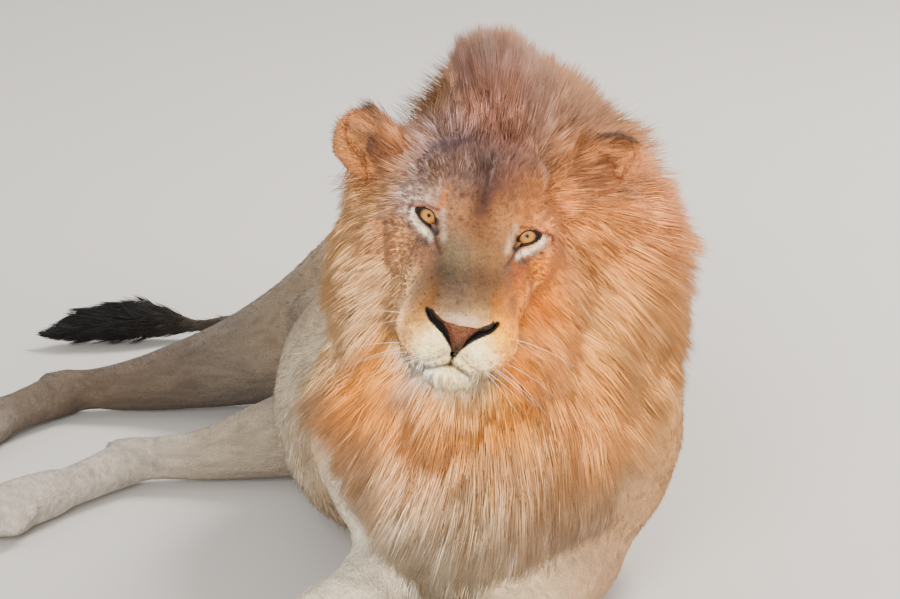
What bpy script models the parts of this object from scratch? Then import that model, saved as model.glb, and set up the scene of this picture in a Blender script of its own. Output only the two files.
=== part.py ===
"""A male lion resting on its chest, its hips rolled on to the left one and both hind legs out to its right.

Run it with: blender --background --python part.py
Metres, +Z up. The floor is z = 0, the face looks along -Y, and the lion's own left side is towards +X.
The origin is on the floor, under the brisket where the chest rests between the elbows.
"""

import math

import bpy
import bmesh
from mathutils import Euler, Matrix, Vector

# ---------------------------------------------------------------- driving sizes
EYE_SPACING = 0.112  # between the centres of the eyeballs
EYE_RADIUS = 0.0195
HEAD_AT = Vector((0.0, -0.10, 0.50))  # midway between the eyeballs
HEAD_PITCH = 5.5  # degrees, nose down
HEAD_ROLL = 12.0  # degrees, crown towards the left side
HEAD_YAW = -2.5  # degrees, nose towards the right side
CHEST_HALF_WIDTH = 0.222
WITHERS_HEIGHT = 0.475
HIP_AT = Vector((0.06, 0.90, 0.185))  # middle of the pelvis
GAP = 0.0006  # between neighbouring pieces

# ---------------------------------------------------------------- finishes
TAWNY = (0.60, 0.44, 0.27)
PALE_FUR = (0.72, 0.62, 0.48)
GOLD_MANE = (0.66, 0.42, 0.20)
BROWN_MANE = (0.33, 0.22, 0.15)
BLACK_FUR = (0.05, 0.04, 0.035)
NOSE_BROWN = (0.30, 0.13, 0.08)
AMBER = (0.70, 0.42, 0.10)

MM = 0.001


def clear_scene():
    for old in list(bpy.data.objects):
        bpy.data.objects.remove(old)


def finish(name, colour, roughness):
    material = bpy.data.materials.new(name)
    material.use_nodes = True
    shader = material.node_tree.nodes["Principled BSDF"]
    shader.inputs["Base Color"].default_value = (*colour, 1.0)
    shader.inputs["Roughness"].default_value = roughness
    shader.inputs["Metallic"].default_value = 0.0
    material.diffuse_color = (*colour, 1.0)
    return material


# ---------------------------------------------------------------- modelling helpers
def select_only(obj):
    bpy.ops.object.select_all(action="DESELECT")
    obj.select_set(True)
    bpy.context.view_layer.objects.active = obj


def ball(centre, radii, turn=(0.0, 0.0, 0.0), rings=14):
    """An ellipsoid: a UV sphere scaled to three radii and turned by Euler angles in degrees."""
    bpy.ops.mesh.primitive_uv_sphere_add(segments=2 * rings, ring_count=rings, radius=1.0)
    obj = bpy.context.active_object
    rotation = Euler([math.radians(a) for a in turn]).to_matrix().to_4x4()
    obj.data.transform(Matrix.Translation(centre) @ rotation @ Matrix.Diagonal((*radii, 1.0)))
    return obj


def eased(values, t):
    """A smooth (Catmull-Rom) value at t from 0 to len(values) - 1."""
    last = len(values) - 1
    i = min(int(t), last - 1)
    u = t - i
    a = values[max(i - 1, 0)]
    b = values[i]
    c = values[i + 1]
    d = values[min(i + 2, last)]
    return (
        b * (2 - 5 * u**2 + 3 * u**3)
        + c * (u + 4 * u**2 - 3 * u**3)
        + a * (-u + 2 * u**2 - u**3)
        + d * (-(u**2) + u**3)
    ) * 0.5


STEPS = 6  # points between two of a limb's own


def limb(points, radii):
    """A round-ended tube along a smooth line, with a radius at each of the line's points."""
    line = [Vector(p) for p in points]
    data = bpy.data.curves.new("limb", "CURVE")
    data.dimensions = "3D"
    data.bevel_depth = 1.0
    data.bevel_resolution = 4
    data.use_fill_caps = True
    spline = data.splines.new("POLY")
    count = (len(line) - 1) * STEPS + 1
    spline.points.add(count - 1)
    for k in range(count):
        place = eased(line, k / STEPS)
        spline.points[k].co = (*place, 1.0)
        spline.points[k].radius = eased(radii, k / STEPS)
    tube = as_mesh(link(bpy.data.objects.new("limb", data)))
    ends = [ball(line[i], (radii[i],) * 3) for i in (0, -1)]
    return joined([tube, *ends])


def link(obj):
    bpy.context.scene.collection.objects.link(obj)
    return obj


def as_mesh(obj):
    """The object as its modifiers leave it, as a plain mesh; the first object goes."""
    bpy.context.view_layer.update()
    graph = bpy.context.evaluated_depsgraph_get()
    mesh = bpy.data.meshes.new_from_object(obj.evaluated_get(graph))
    made = link(bpy.data.objects.new(obj.name, mesh))
    made.matrix_world = obj.matrix_world.copy()
    bpy.data.objects.remove(obj)
    return made


def joined(objects):
    if len(objects) == 1:
        return objects[0]
    select_only(objects[0])
    for obj in objects:
        obj.select_set(True)
    bpy.ops.object.join()
    return bpy.context.active_object


def form(pieces, voxel, smooth, triangles, hollows=()):
    """One closed soft form: the pieces fused by a voxel remesh, smoothed, hollowed and thinned."""
    obj = joined(pieces)
    remesh = obj.modifiers.new("Fuse", "REMESH")
    remesh.mode = "VOXEL"
    remesh.voxel_size = voxel
    soften = obj.modifiers.new("Soften", "SMOOTH")
    soften.factor = 0.5
    soften.iterations = smooth
    obj = as_mesh(obj)
    for hollow in hollows:
        obj = boolean(obj, hollow, "DIFFERENCE")
        bpy.data.objects.remove(hollow)
    faces = sum(len(p.vertices) - 2 for p in obj.data.polygons)
    thin = obj.modifiers.new("Thin", "DECIMATE")
    thin.ratio = min(1.0, triangles / faces)
    thin.use_collapse_triangulate = True
    return largest_piece(as_mesh(obj))


def copy_of(obj):
    return link(bpy.data.objects.new(obj.name, obj.data.copy()))


def grown(obj, by=GAP):
    """A copy whose surface stands a little outside the first, to leave a gap where it cuts."""
    made = copy_of(obj)
    mesh = bmesh.new()
    mesh.from_mesh(made.data)
    mesh.normal_update()
    for vertex in mesh.verts:
        vertex.co += vertex.normal * by * min(vertex.calc_shell_factor(), 2.5)
    mesh.to_mesh(made.data)
    mesh.free()
    return made


def boolean(obj, other, operation):
    step = obj.modifiers.new(operation, "BOOLEAN")
    step.operation = operation
    step.object = other
    return as_mesh(obj)


def box_of(obj):
    corners = [obj.matrix_world @ Vector(corner) for corner in obj.bound_box]
    return [(min(c[k] for c in corners), max(c[k] for c in corners)) for k in range(3)]


def boxes_meet(one, other):
    return all(a[0] < b[1] and b[0] < a[1] for a, b in zip(box_of(one), box_of(other)))


def fitted(wholes):
    """Each whole form less all that come before it, with a gap, so the first keep their full shape."""
    cutters = {name: grown(obj) for name, obj in wholes.items()}
    pieces = {}
    for name, obj in wholes.items():
        for earlier in pieces:
            if boxes_meet(obj, cutters[earlier]):
                obj = boolean(obj, cutters[earlier], "DIFFERENCE")
        pieces[name] = largest_piece(obj)
    for cutter in cutters.values():
        bpy.data.objects.remove(cutter)
    return pieces


def block(low, high, turn=None, about=(0.0, 0.0, 0.0)):
    """A box between two corners, turned about a point by a rotation matrix."""
    bpy.ops.mesh.primitive_cube_add(size=1.0)
    obj = bpy.context.active_object
    low, high = Vector(low), Vector(high)
    obj.data.transform(Matrix.Translation((low + high) / 2) @ Matrix.Diagonal((*(high - low), 1.0)))
    if turn:
        pivot = Matrix.Translation(about)
        obj.data.transform(pivot @ turn.to_4x4() @ pivot.inverted())
    return obj


def parted(obj, region):
    """(the piece of obj inside the region, the rest): one thin cut along the region's faces."""
    inside = largest_piece(boolean(copy_of(obj), region, "INTERSECT"))
    wider = grown(region, GAP)
    rest = boolean(obj, wider, "DIFFERENCE")
    bpy.data.objects.remove(wider)
    bpy.data.objects.remove(region)
    return inside, largest_piece(rest)


def largest_piece(obj):
    """Drops loose crumbs, keeping the piece with the most vertices."""
    mesh = bmesh.new()
    mesh.from_mesh(obj.data)
    unseen = set(mesh.verts)
    pieces = []
    while unseen:
        piece = {unseen.pop()}
        front = list(piece)
        while front:
            vertex = front.pop()
            near = {edge.other_vert(vertex) for edge in vertex.link_edges} - piece
            piece |= near
            front.extend(near)
        unseen -= piece
        pieces.append(piece)
    keep = max(pieces, key=len)
    crumbs = [vertex for vertex in mesh.verts if vertex not in keep]
    bmesh.ops.delete(mesh, geom=crumbs, context="VERTS")
    mesh.to_mesh(obj.data)
    mesh.free()
    return obj


def on_floor(obj):
    """Cuts off what dips under the floor, which leaves the small flats that the lion rests on."""
    reach = 4.0
    ground = block((-reach, -reach, -1.0), (reach, reach, 0.0))
    obj = boolean(obj, ground, "DIFFERENCE")
    bpy.data.objects.remove(ground)
    return largest_piece(obj)


def both_sides(make):
    """The pieces that make(side) gives for the left side, +1, and the right, -1."""
    return [piece for side in (1, -1) for piece in make(side)]


# ---------------------------------------------------------------- the head, in its own frame
def head_frame():
    """From the head's own axes in millimetres (x to its left, y forward, z up) to the row frame."""
    turn = (
        Matrix.Rotation(math.radians(HEAD_YAW), 4, "Z")
        @ Matrix.Rotation(math.radians(HEAD_PITCH), 4, "X")
        @ Matrix.Rotation(math.radians(HEAD_ROLL), 4, "Y")
    )
    mirrored = Matrix(((1, 0, 0, 0), (0, -1, 0, 0), (0, 0, 1, 0), (0, 0, 0, 1)))
    return Matrix.Translation(HEAD_AT) @ turn @ mirrored @ Matrix.Scale(MM, 4)


def outward(obj):
    """Turns faces outwards again after the head frame has mirrored them."""
    mesh = bmesh.new()
    mesh.from_mesh(obj.data)
    bmesh.ops.recalc_face_normals(mesh, faces=mesh.faces)
    mesh.to_mesh(obj.data)
    mesh.free()
    return obj


HEAD_BACK = -80  # where the head ends and the maned neck begins
JAW_BACK = -45
EYE_X = EYE_SPACING / 2 / MM
EYE_R = EYE_RADIUS / MM


def placed(obj):
    """A piece from the head's own frame, in the row frame."""
    obj.data.transform(head_frame())
    return outward(obj)


def in_head(pieces, voxel, smooth, triangles, hollows=()):
    pieces = [placed(piece) for piece in pieces]
    return form(pieces, voxel, smooth, triangles, [placed(hollow) for hollow in hollows])


def all_behind(y):
    """All that is behind y in the head's own frame, where the neck and its mane take over."""
    return block((-300, y - 400, -400), (300, y, 400))


def skull_side(side):
    """One side of the face: brow, cheekbone, cheek, bridge, whisker pad and upper lip."""
    return [
        limb([(22 * side, 6, 19), (52 * side, 1, 26), (79 * side, -26, 15)], [17, 16, 17]),
        limb([(52 * side, 26, -33), (78 * side, -18, -28), (84 * side, -78, -20)], [20, 23, 24]),
        ball((66 * side, -44, -46), (38, 74, 52)),
        ball((62 * side, -66, -84), (36, 62, 46)),
        ball((41 * side, 46, -46), (34, 66, 42)),
        limb([(17 * side, -12, 8), (21 * side, 58, -13), (20 * side, 126, -34)], [30, 27, 20]),
        ball((35 * side, 122, -78), (36, 49, 34), turn=(-8, 0, 8 * side)),
        limb([(34 * side, 114, -84), (47 * side, 80, -90), (54 * side, 40, -92)], [27, 28, 26]),
    ]


def make_eye(side):
    return placed(ball((EYE_X * side, 0, 0), (EYE_R,) * 3, rings=6))


def with_nostrils(nose):
    for side in (1, -1):
        nostril = placed(ball((19 * side, 170, -54), (12, 11, 4.5), turn=(0, -30 * side, 0), rings=6))
        nose = boolean(nose, nostril, "DIFFERENCE")
        bpy.data.objects.remove(nostril)
    return largest_piece(nose)


def make_nose():
    """The bare nose: a broad top, a wing round each nostril, and the point over the lip groove."""
    pieces = [ball((0, 152, -52), (20, 20, 19)), ball((0, 158, -70), (8, 13, 16))]
    pieces += both_sides(lambda side: [ball((22 * side, 146, -47), (15, 19, 11), turn=(0, -24 * side, 0))])
    return in_head(pieces, voxel=0.0025, smooth=4, triangles=130)


def socket(side):
    """The hollow in front of the eyeball, between the lids."""
    return ball((EYE_X * side + 3 * side, 26, -2), (22, 15, 14), turn=(0, 10 * side, -18 * side), rings=10)


def make_skull():
    pieces = [
        ball((0, -88, 8), (89, 98, 80)),
        ball((0, -36, 12), (72, 60, 54)),
        ball((0, 104, -56), (57, 62, 42)),
        *both_sides(skull_side),
    ]
    hollows = [all_behind(HEAD_BACK), *both_sides(lambda side: [socket(side)])]
    return in_head(pieces, voxel=0.005, smooth=5, triangles=880, hollows=hollows)


def jaw_side(side):
    return [limb([(58 * side, -58, -108), (45 * side, 30, -116), (24 * side, 98, -122)], [32, 29, 25])]


def make_jaw():
    """The lower jaw and chin; the whisker pads lie over its rim, which is the closed mouth."""
    pieces = [ball((0, 106, -126), (43, 40, 29)), ball((0, 24, -112), (50, 98, 32)), *both_sides(jaw_side)]
    return in_head(pieces, voxel=0.006, smooth=3, triangles=190, hollows=[all_behind(JAW_BACK)])


EAR_SIZE = (48, 27, 54)
EAR_TURNS = {1: (-12, 34, -24), -1: (-10, -62, 30)}  # degrees: left ear pricked, right ear let down
EAR_AT = {1: (124, -100, 64), -1: (-128, -106, 28)}


def make_ear(side):
    """A rounded cup, open to the front, on the corner of the skull."""
    cup = ball((0, 0, 0), EAR_SIZE, rings=12)
    hollow = ball((0, 19, 6), (37, 24, 41), rings=12)
    cup = boolean(cup, hollow, "DIFFERENCE")
    bpy.data.objects.remove(hollow)
    root = limb([(0, -6, -34), (0, -9, -52)], [26, 27])
    ear = joined([cup, root])
    turn = Euler([math.radians(a) for a in EAR_TURNS[side]]).to_matrix().to_4x4()
    ear.data.transform(Matrix.Translation(EAR_AT[side]) @ turn)
    return in_head([ear], voxel=0.004, smooth=3, triangles=150)


# ---------------------------------------------------------------- the mane, out to the tips of its hair
def mane_forms():
    """The neck under its mane: crest, ruff on both cheeks, nape, shoulders and the bib on the chest."""
    return [
        placed(ball((0, -104, 8), (90, 96, 82))),
        limb([(0.0, 0.04, 0.47), (0.01, 0.20, 0.42)], [0.135, 0.165]),
        ball((0.020, 0.085, 0.582), (0.068, 0.110, 0.097)),
        ball((0.025, 0.180, 0.530), (0.090, 0.150, 0.105)),
        ball((0.078, 0.125, 0.540), (0.083, 0.100, 0.088)),
        ball((0.120, 0.140, 0.465), (0.107, 0.115, 0.112)),
        ball((0.020, 0.250, 0.460), (0.125, 0.200, 0.110)),
        ball((0.015, 0.360, 0.410), (0.110, 0.190, 0.085)),
        ball((0.115, 0.075, 0.410), (0.137, 0.112, 0.165)),
        ball((-0.078, 0.040, 0.415), (0.107, 0.105, 0.155)),
        ball((0.130, 0.150, 0.340), (0.115, 0.150, 0.150)),
        ball((0.000, -0.060, 0.250), (0.140, 0.110, 0.188)),
        ball((0.080, -0.030, 0.275), (0.110, 0.115, 0.165)),
        ball((-0.080, 0.015, 0.275), (0.105, 0.115, 0.150)),
    ]


# ---------------------------------------------------------------- the trunk
def trunk_forms():
    """Ribcage, shoulder blades, brisket, belly and the rolled pelvis."""
    deep = WITHERS_HEIGHT / 2
    return [
        ball((0.012, 0.290, 0.233), (0.180, 0.360, deep + 0.005)),
        ball((0.125, 0.210, 0.200), (CHEST_HALF_WIDTH - 0.098, 0.240, 0.170)),
        ball((-0.105, 0.360, 0.160), (0.140, 0.260, 0.155)),
        ball((0.115, 0.120, 0.340), (0.080, 0.160, 0.120), turn=(10, 18, 0)),
        ball((-0.085, 0.120, 0.340), (0.080, 0.160, 0.120), turn=(10, -18, 0)),
        ball((0.000, 0.000, 0.140), (0.120, 0.140, 0.155)),
        limb([(0.0, 0.12, 0.390), (0.015, 0.40, 0.370), (0.070, 0.72, 0.280)], [0.075, 0.085, 0.090]),
        ball((0.010, 0.620, 0.180), (0.185, 0.260, 0.192)),
        ball(HIP_AT, (0.150, 0.215, 0.200), turn=(0, -20, -8)),
        ball(HIP_AT + Vector((0.030, 0.100, -0.040)), (0.105, 0.150, 0.110)),
    ]


# ---------------------------------------------------------------- the legs
def paw(heel, toe, width, height, triangles, sole):
    """A cat's paw: a pad mass from heel to toe line, four toes in an arc, and the pads under them."""
    heel, toe = Vector(heel), Vector(toe)
    along = (toe - heel).normalized()
    across = along.cross(Vector((0, 0, 1))).normalized()
    foot_line = [heel, heel.lerp(toe, 0.55), heel.lerp(toe, 0.8)]
    pieces = [limb(foot_line, [height * 0.92, height, height * 0.95])]
    for toe_place in (-1.5, -0.5, 0.5, 1.5):
        reach = 1.0 - 0.05 * toe_place**2
        knuckle = heel + along * ((toe - heel).length * (reach - 0.30)) + across * (toe_place * width * 0.235)
        tip = heel + along * ((toe - heel).length * reach) + across * (toe_place * width * 0.262)
        tip.z = knuckle.z - height * 0.30
        knuckle.z += height * 0.12
        pieces.append(limb([knuckle, tip], [width * 0.150, width * 0.148]))
    pad = heel.lerp(toe, 0.62) - Vector((0, 0, height * 0.62))
    pieces.append(ball(pad, (width * 0.34, width * 0.34, sole)))
    return form(pieces, voxel=0.006, smooth=2, triangles=triangles)


FORELEG = {
    "left": {
        "shoulder": (0.148, 0.020, 0.290),
        "arm": (0.160, 0.080, 0.190),
        "elbow": (0.108, 0.085, 0.070),
        "forearm": (0.062, -0.070, 0.062),
        "wrist": (-0.008, -0.235, 0.045),
        "toes": (-0.075, -0.425, 0.037),
    },
    "right": {
        "shoulder": (-0.120, 0.020, 0.290),
        "arm": (-0.125, 0.080, 0.190),
        "elbow": (-0.062, 0.080, 0.070),
        "forearm": (-0.124, -0.065, 0.061),
        "wrist": (-0.208, -0.215, 0.045),
        "toes": (-0.290, -0.395, 0.037),
    },
}
HIND_LEG = {
    "left": {
        "hip": (0.060, 0.84, 0.125),
        "thigh": (-0.020, 0.69, 0.110),
        "knee": (-0.120, 0.560, 0.085),
        "calf": (-0.235, 0.545, 0.056),
        "shank": (-0.335, 0.535, 0.036),
        "hock": (-0.412, 0.528, 0.033),
        "instep": (-0.480, 0.440, 0.029),
        "toes": (-0.585, 0.300, 0.033),
    },
    "right": {
        "hip": (0.010, 0.880, 0.240),
        "thigh": (-0.090, 0.850, 0.165),
        "knee": (-0.205, 0.830, 0.098),
        "calf": (-0.315, 0.830, 0.060),
        "shank": (-0.420, 0.825, 0.038),
        "hock": (-0.512, 0.818, 0.030),
        "instep": (-0.575, 0.730, 0.029),
        "toes": (-0.665, 0.580, 0.033),
    },
}


def upper_arm_forms(side):
    at = FORELEG[side]
    outer = 0.022 if side == "left" else -0.022
    triceps = Vector(at["arm"]) + Vector((outer, 0.045, 0.02))
    return [
        limb([at["shoulder"], at["arm"], at["elbow"]], [0.076, 0.080, 0.060]),
        ball(triceps, (0.055, 0.110, 0.115), turn=(12, 0, 0)),
    ]


def forearm(side):
    at = FORELEG[side]
    elbow_point = Vector(at["elbow"]) + Vector((0, 0.035, 0.0))
    pieces = [
        limb([at["elbow"], at["forearm"], at["wrist"]], [0.071, 0.063, 0.047]),
        ball(elbow_point, (0.045, 0.055, 0.05)),
        ball(Vector(at["wrist"]) + Vector((0, 0.0, 0.002)), (0.050, 0.052, 0.048)),
    ]
    return form(pieces, voxel=0.008, smooth=3, triangles=120)


def thigh_forms(side):
    """The thigh, and on the right one the fold of skin that runs from it to the flank."""
    at = HIND_LEG[side]
    radii = [0.118, 0.112, 0.080] if side == "left" else [0.125, 0.118, 0.085]
    thigh = limb([at["hip"], at["thigh"], at["knee"]], radii)
    if side == "left":
        return [thigh]
    muscle = ball((-0.020, 0.860, 0.210), (0.130, 0.165, 0.135), turn=(0, 30, 0))
    fold_line = [(-0.130, 0.600, 0.225), (-0.205, 0.670, 0.185), (-0.190, 0.780, 0.130)]
    fold = limb(fold_line, [0.035, 0.024, 0.05])
    return [thigh, muscle, fold]


def make_body():
    """Trunk, maned neck, upper arms and thighs as one soft form, so that the muscles run into one another."""
    pieces = trunk_forms() + mane_forms()
    for side in ("left", "right"):
        pieces += upper_arm_forms(side) + thigh_forms(side)
    return form(pieces, voxel=0.012, smooth=9, triangles=1280)


def shank(side):
    at = HIND_LEG[side]
    radii = [0.078, 0.056, 0.037, 0.031] if side == "left" else [0.085, 0.059, 0.039, 0.029]
    heel = Vector(at["hock"]) + Vector((-0.030, 0.022, 0.006))
    pieces = [
        limb([at["knee"], at["calf"], at["shank"], at["hock"]], radii),
        limb([at["shank"], heel], [0.018, 0.022]),
    ]
    return form(pieces, voxel=0.007, smooth=3, triangles=110)


def hind_foot(side):
    """From hock to toes: the long instep and the paw, lying on its outer edge."""
    at = HIND_LEG[side]
    ball_of_foot = Vector(at["instep"]).lerp(Vector(at["toes"]), 0.4)
    instep = limb([at["hock"], at["instep"], ball_of_foot], [0.033, 0.028, 0.034])
    start = Vector(at["instep"]).lerp(Vector(at["toes"]), 0.25)
    end = paw(start, at["toes"], width=0.100, height=0.036, triangles=6000, sole=0.014)
    return form([instep, end], voxel=0.006, smooth=1, triangles=200)


def fore_paw(side):
    at = FORELEG[side]
    return paw(at["wrist"], at["toes"], width=0.125, height=0.042, triangles=210, sole=0.016)


# ---------------------------------------------------------------- the tail
TAIL_LINE = [(0.115, 1.050, 0.120), (0.090, 1.150, 0.052), (-0.020, 1.205, 0.024), (-0.190, 1.195, 0.020)]
TAIL_END = [(-0.190, 1.195, 0.020), (-0.290, 1.170, 0.018), (-0.370, 1.148, 0.018)]
TUFT_LINE = [(-0.365, 1.149, 0.018), (-0.430, 1.135, 0.030), (-0.505, 1.120, 0.028), (-0.560, 1.105, 0.016)]


def make_tail():
    """Three lengths, laid in a curve behind the right hind leg, the last one the black tuft."""
    base = form([limb(TAIL_LINE, [0.052, 0.036, 0.026, 0.021])], voxel=0.006, smooth=3, triangles=100)
    end = form([limb(TAIL_END, [0.021, 0.019, 0.017])], voxel=0.005, smooth=2, triangles=60)
    tuft = form([limb(TUFT_LINE, [0.017, 0.034, 0.030, 0.010])], voxel=0.005, smooth=3, triangles=110)
    return tuft, end, base


# ---------------------------------------------------------------- cutting and fitting
def tilted(degrees, axis):
    return Matrix.Rotation(math.radians(degrees), 3, axis)


def part_body(body):
    """Cuts the one soft form into its parts by planes: mane, upper arms, chest, belly, rump, thighs."""
    far = 1.5
    cuts = {
        "upper_arm_left": block((0.150, -far, -far), (far, 0.170, 0.300)),
        "upper_arm_right": block((-far, -far, -far), (-0.132, 0.170, 0.285)),
        "mane_crown": block((-far, -far, 0.555), (far, 0.170, far), tilted(7, "Y"), (0.0, 0.0, 0.555)),
        "mane_nape": block((-far, 0.165, 0.300), (far, far, far), tilted(19, "X"), (0.0, 0.165, 0.300)),
        "mane_bib": block((-far, -far, 0.062), (far, 0.040, 0.325), tilted(4, "Y"), (0.0, 0.0, 0.325)),
        "mane_ruffs": block((-far, -far, 0.3075), (far, 0.173, far), tilted(1.5, "X"), (0.0, 0.0, 0.3075)),
        "chest": block((-far, -far, -far), (far, 0.440, far)),
        "thigh_left": block((-far, -far, -far), (-0.045, 0.700, 0.160)),
        "belly": block((-far, -far, -far), (far, 0.715, far), tilted(-14, "Z"), (0.0, 0.715, 0.0)),
        "thigh_right": block((-far, -far, -far), (-0.070, far, far)),
    }
    pieces = {}
    rest = body
    for name, region in cuts.items():
        pieces[name], rest = parted(rest, region)
    pieces["rump"] = rest
    middle = block((0.012, -far, -far), (far, far, far), tilted(3, "Y"), (0.012, 0.0, 0.45))
    pieces["mane_ruff_left"], pieces["mane_ruff_right"] = parted(pieces.pop("mane_ruffs"), middle)
    return pieces


def build():
    clear_scene()
    wholes = {
        "eye_left": make_eye(1),
        "eye_right": make_eye(-1),
        "nose": make_nose(),
        "head": make_skull(),
        "jaw": make_jaw(),
        "ear_left": make_ear(1),
        "ear_right": make_ear(-1),
    }
    for part in (fore_paw, forearm, hind_foot, shank):
        for side in ("left", "right"):
            wholes[f"{part.__name__}_{side}"] = part(side)
    wholes["tail_tuft"], wholes["tail_end"], wholes["tail_base"] = make_tail()
    wholes["body"] = make_body()
    pieces = fitted(wholes)
    pieces["nose"] = with_nostrils(pieces["nose"])
    pieces.update(part_body(pieces.pop("body")))
    return {name: on_floor(obj) for name, obj in pieces.items()}


def dress(pieces):
    """Names each piece, puts it in the lion's collection and gives it its finish."""
    tawny = finish("tawny_coat", TAWNY, 0.85)
    pale = finish("pale_coat", PALE_FUR, 0.85)
    gold = finish("gold_mane", GOLD_MANE, 0.80)
    brown = finish("brown_mane", BROWN_MANE, 0.80)
    black = finish("black_tuft", BLACK_FUR, 0.80)
    leather = finish("nose_leather", NOSE_BROWN, 0.45)
    amber = finish("amber_eye", AMBER, 0.10)
    chosen = {
        "eye": amber,
        "nose": leather,
        "jaw": pale,
        "mane": gold,
        "mane_crown": brown,
        "mane_nape": brown,
        "tail_tuft": black,
        "fore_paw": pale,
        "hind_foot": pale,
    }
    lion = bpy.data.collections.new("lion")
    bpy.context.scene.collection.children.link(lion)
    for name, obj in pieces.items():
        obj.name = name
        obj.data.name = name
        keys = [key for key in chosen if name.startswith(key)]
        obj.data.materials.clear()
        obj.data.materials.append(chosen[max(keys, key=len)] if keys else tawny)
        for holder in list(obj.users_collection):
            holder.objects.unlink(obj)
        lion.objects.link(obj)
        obj.data.shade_smooth()
        obj.data.set_sharp_from_angle(angle=math.radians(50))


def remove_helpers(pieces):
    kept = set(pieces.values())
    for obj in list(bpy.data.objects):
        if obj not in kept:
            bpy.data.objects.remove(obj)


lion_pieces = build()
remove_helpers(lion_pieces)
dress(lion_pieces)
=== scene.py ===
# %% [markdown]
# # A male lion at rest
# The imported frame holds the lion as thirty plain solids, out to the tips of its coat. This lesson grows
# a skin inside them, sculpts the face, and covers the skin with fur and mane made of real mesh.

# %% Load the frame
import math

import bmesh
import bpy
import numpy as np
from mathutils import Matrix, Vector
from mathutils.bvhtree import BVHTree
from mathutils.kdtree import KDTree
from mathutils.noise import noise_vector, seed_set


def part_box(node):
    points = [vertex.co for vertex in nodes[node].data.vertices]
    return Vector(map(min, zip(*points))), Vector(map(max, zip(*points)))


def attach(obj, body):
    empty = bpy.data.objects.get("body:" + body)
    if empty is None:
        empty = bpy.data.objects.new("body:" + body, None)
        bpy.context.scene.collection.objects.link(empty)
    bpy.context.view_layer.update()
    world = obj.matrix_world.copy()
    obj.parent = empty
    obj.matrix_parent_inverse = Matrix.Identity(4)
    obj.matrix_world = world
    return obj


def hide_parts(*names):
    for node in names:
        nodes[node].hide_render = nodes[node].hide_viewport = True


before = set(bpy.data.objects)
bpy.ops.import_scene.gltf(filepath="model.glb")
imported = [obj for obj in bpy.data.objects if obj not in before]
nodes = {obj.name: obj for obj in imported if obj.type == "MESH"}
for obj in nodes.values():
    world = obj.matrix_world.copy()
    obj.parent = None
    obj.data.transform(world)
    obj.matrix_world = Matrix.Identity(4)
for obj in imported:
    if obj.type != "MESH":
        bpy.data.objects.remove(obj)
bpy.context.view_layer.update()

SEED = 11
chance = np.random.default_rng(SEED)
seed_set(SEED)  # the smooth noise would start from the clock
MM = 0.001

# %% [markdown]
# ## The head's own axes
# The head leans and turns, so everything on the face is placed in axes of its own: x to the lion's
# left, y forward, z up, in millimetres, from the point midway between the eyeballs. They are found from
# the boxes of the two eyeballs and the nose, so that they follow the frame.


# %% Find the head's axes
def middle_of(name):
    low, high = (np.array(corner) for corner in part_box(name))
    return (low + high) / 2


EYE_CENTRES = {1: middle_of("eye_left"), -1: middle_of("eye_right")}
EYE_RADIUS = 0.0195
NOSE_SLOPE = math.radians(19.0)  # the nose lies this far below straight ahead of the eyes

head_at = (EYE_CENTRES[1] + EYE_CENTRES[-1]) / 2
head_left = EYE_CENTRES[1] - EYE_CENTRES[-1]
head_left /= np.linalg.norm(head_left)
to_nose = middle_of("nose") - head_at
to_nose -= head_left * (to_nose @ head_left)
to_nose /= np.linalg.norm(to_nose)
above_nose = np.cross(to_nose, head_left)
head_forward = to_nose * math.cos(NOSE_SLOPE) + above_nose * math.sin(NOSE_SLOPE)
head_up = above_nose * math.cos(NOSE_SLOPE) - to_nose * math.sin(NOSE_SLOPE)
head_axes = np.array([head_left, head_forward, head_up])
print("the head's axes:", head_axes.round(3).tolist())


def in_head(points):
    return (np.asarray(points) - head_at) @ head_axes.T / MM


def from_head(points):
    return head_at + np.asarray(points, dtype=float) * MM @ head_axes


# %% [markdown]
# ## One skin
# On the real animal there is no seam between neck, trunk and legs. The flesh solids are copied, swollen
# by a millimetre so that they touch, joined, and fused by a voxel remesh, which keeps one outer
# surface. The eyeballs and the nose go in too, a little large: the skin then runs over them, and is
# opened later where they show.

# %% Fuse the skin
BARE = ["eye_left", "eye_right", "nose"]
FLESH = [name for name in nodes if name not in BARE]
SKIN_VOXEL = 0.0065
SKIN_TRIANGLES = 196000


def select_only(*pieces):
    bpy.ops.object.select_all(action="DESELECT")
    for piece in pieces:
        piece.select_set(True)
    bpy.context.view_layer.objects.active = pieces[0]


def apply(piece, kind, **settings):
    """Adds a modifier of that kind and applies it."""
    select_only(piece)
    modifier = piece.modifiers.new(kind, kind)
    for key, value in settings.items():
        setattr(modifier, key, value)
    bpy.ops.object.modifier_apply(modifier=modifier.name)


def swollen_copy(name, by):
    made = bpy.data.objects.new("copy_" + name, nodes[name].data.copy())
    bpy.context.scene.collection.objects.link(made)
    mesh = bmesh.new()
    mesh.from_mesh(made.data)
    bmesh.ops.remove_doubles(mesh, verts=mesh.verts, dist=1e-5)
    mesh.to_mesh(made.data)
    mesh.free()
    apply(made, "DISPLACE", strength=by, mid_level=0.0)
    return made


copies = [swollen_copy(name, 0.0012) for name in FLESH]
copies += [swollen_copy(name, 0.0022) for name in BARE]
select_only(*copies)
bpy.ops.object.join()
skin = bpy.context.active_object
skin.name = "skin"
skin.data.name = "skin"
skin.data.materials.clear()
apply(skin, "REMESH", mode="VOXEL", voxel_size=SKIN_VOXEL)
print("the fused skin has", len(skin.data.polygons), "faces")


# %% [markdown]
# The fused skin still shows the solids' flat facets. Smoothing rounds them off, gently where the face
# and paws have small forms, and more on the trunk. Each point is first labelled with the solid it came
# from.

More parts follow.
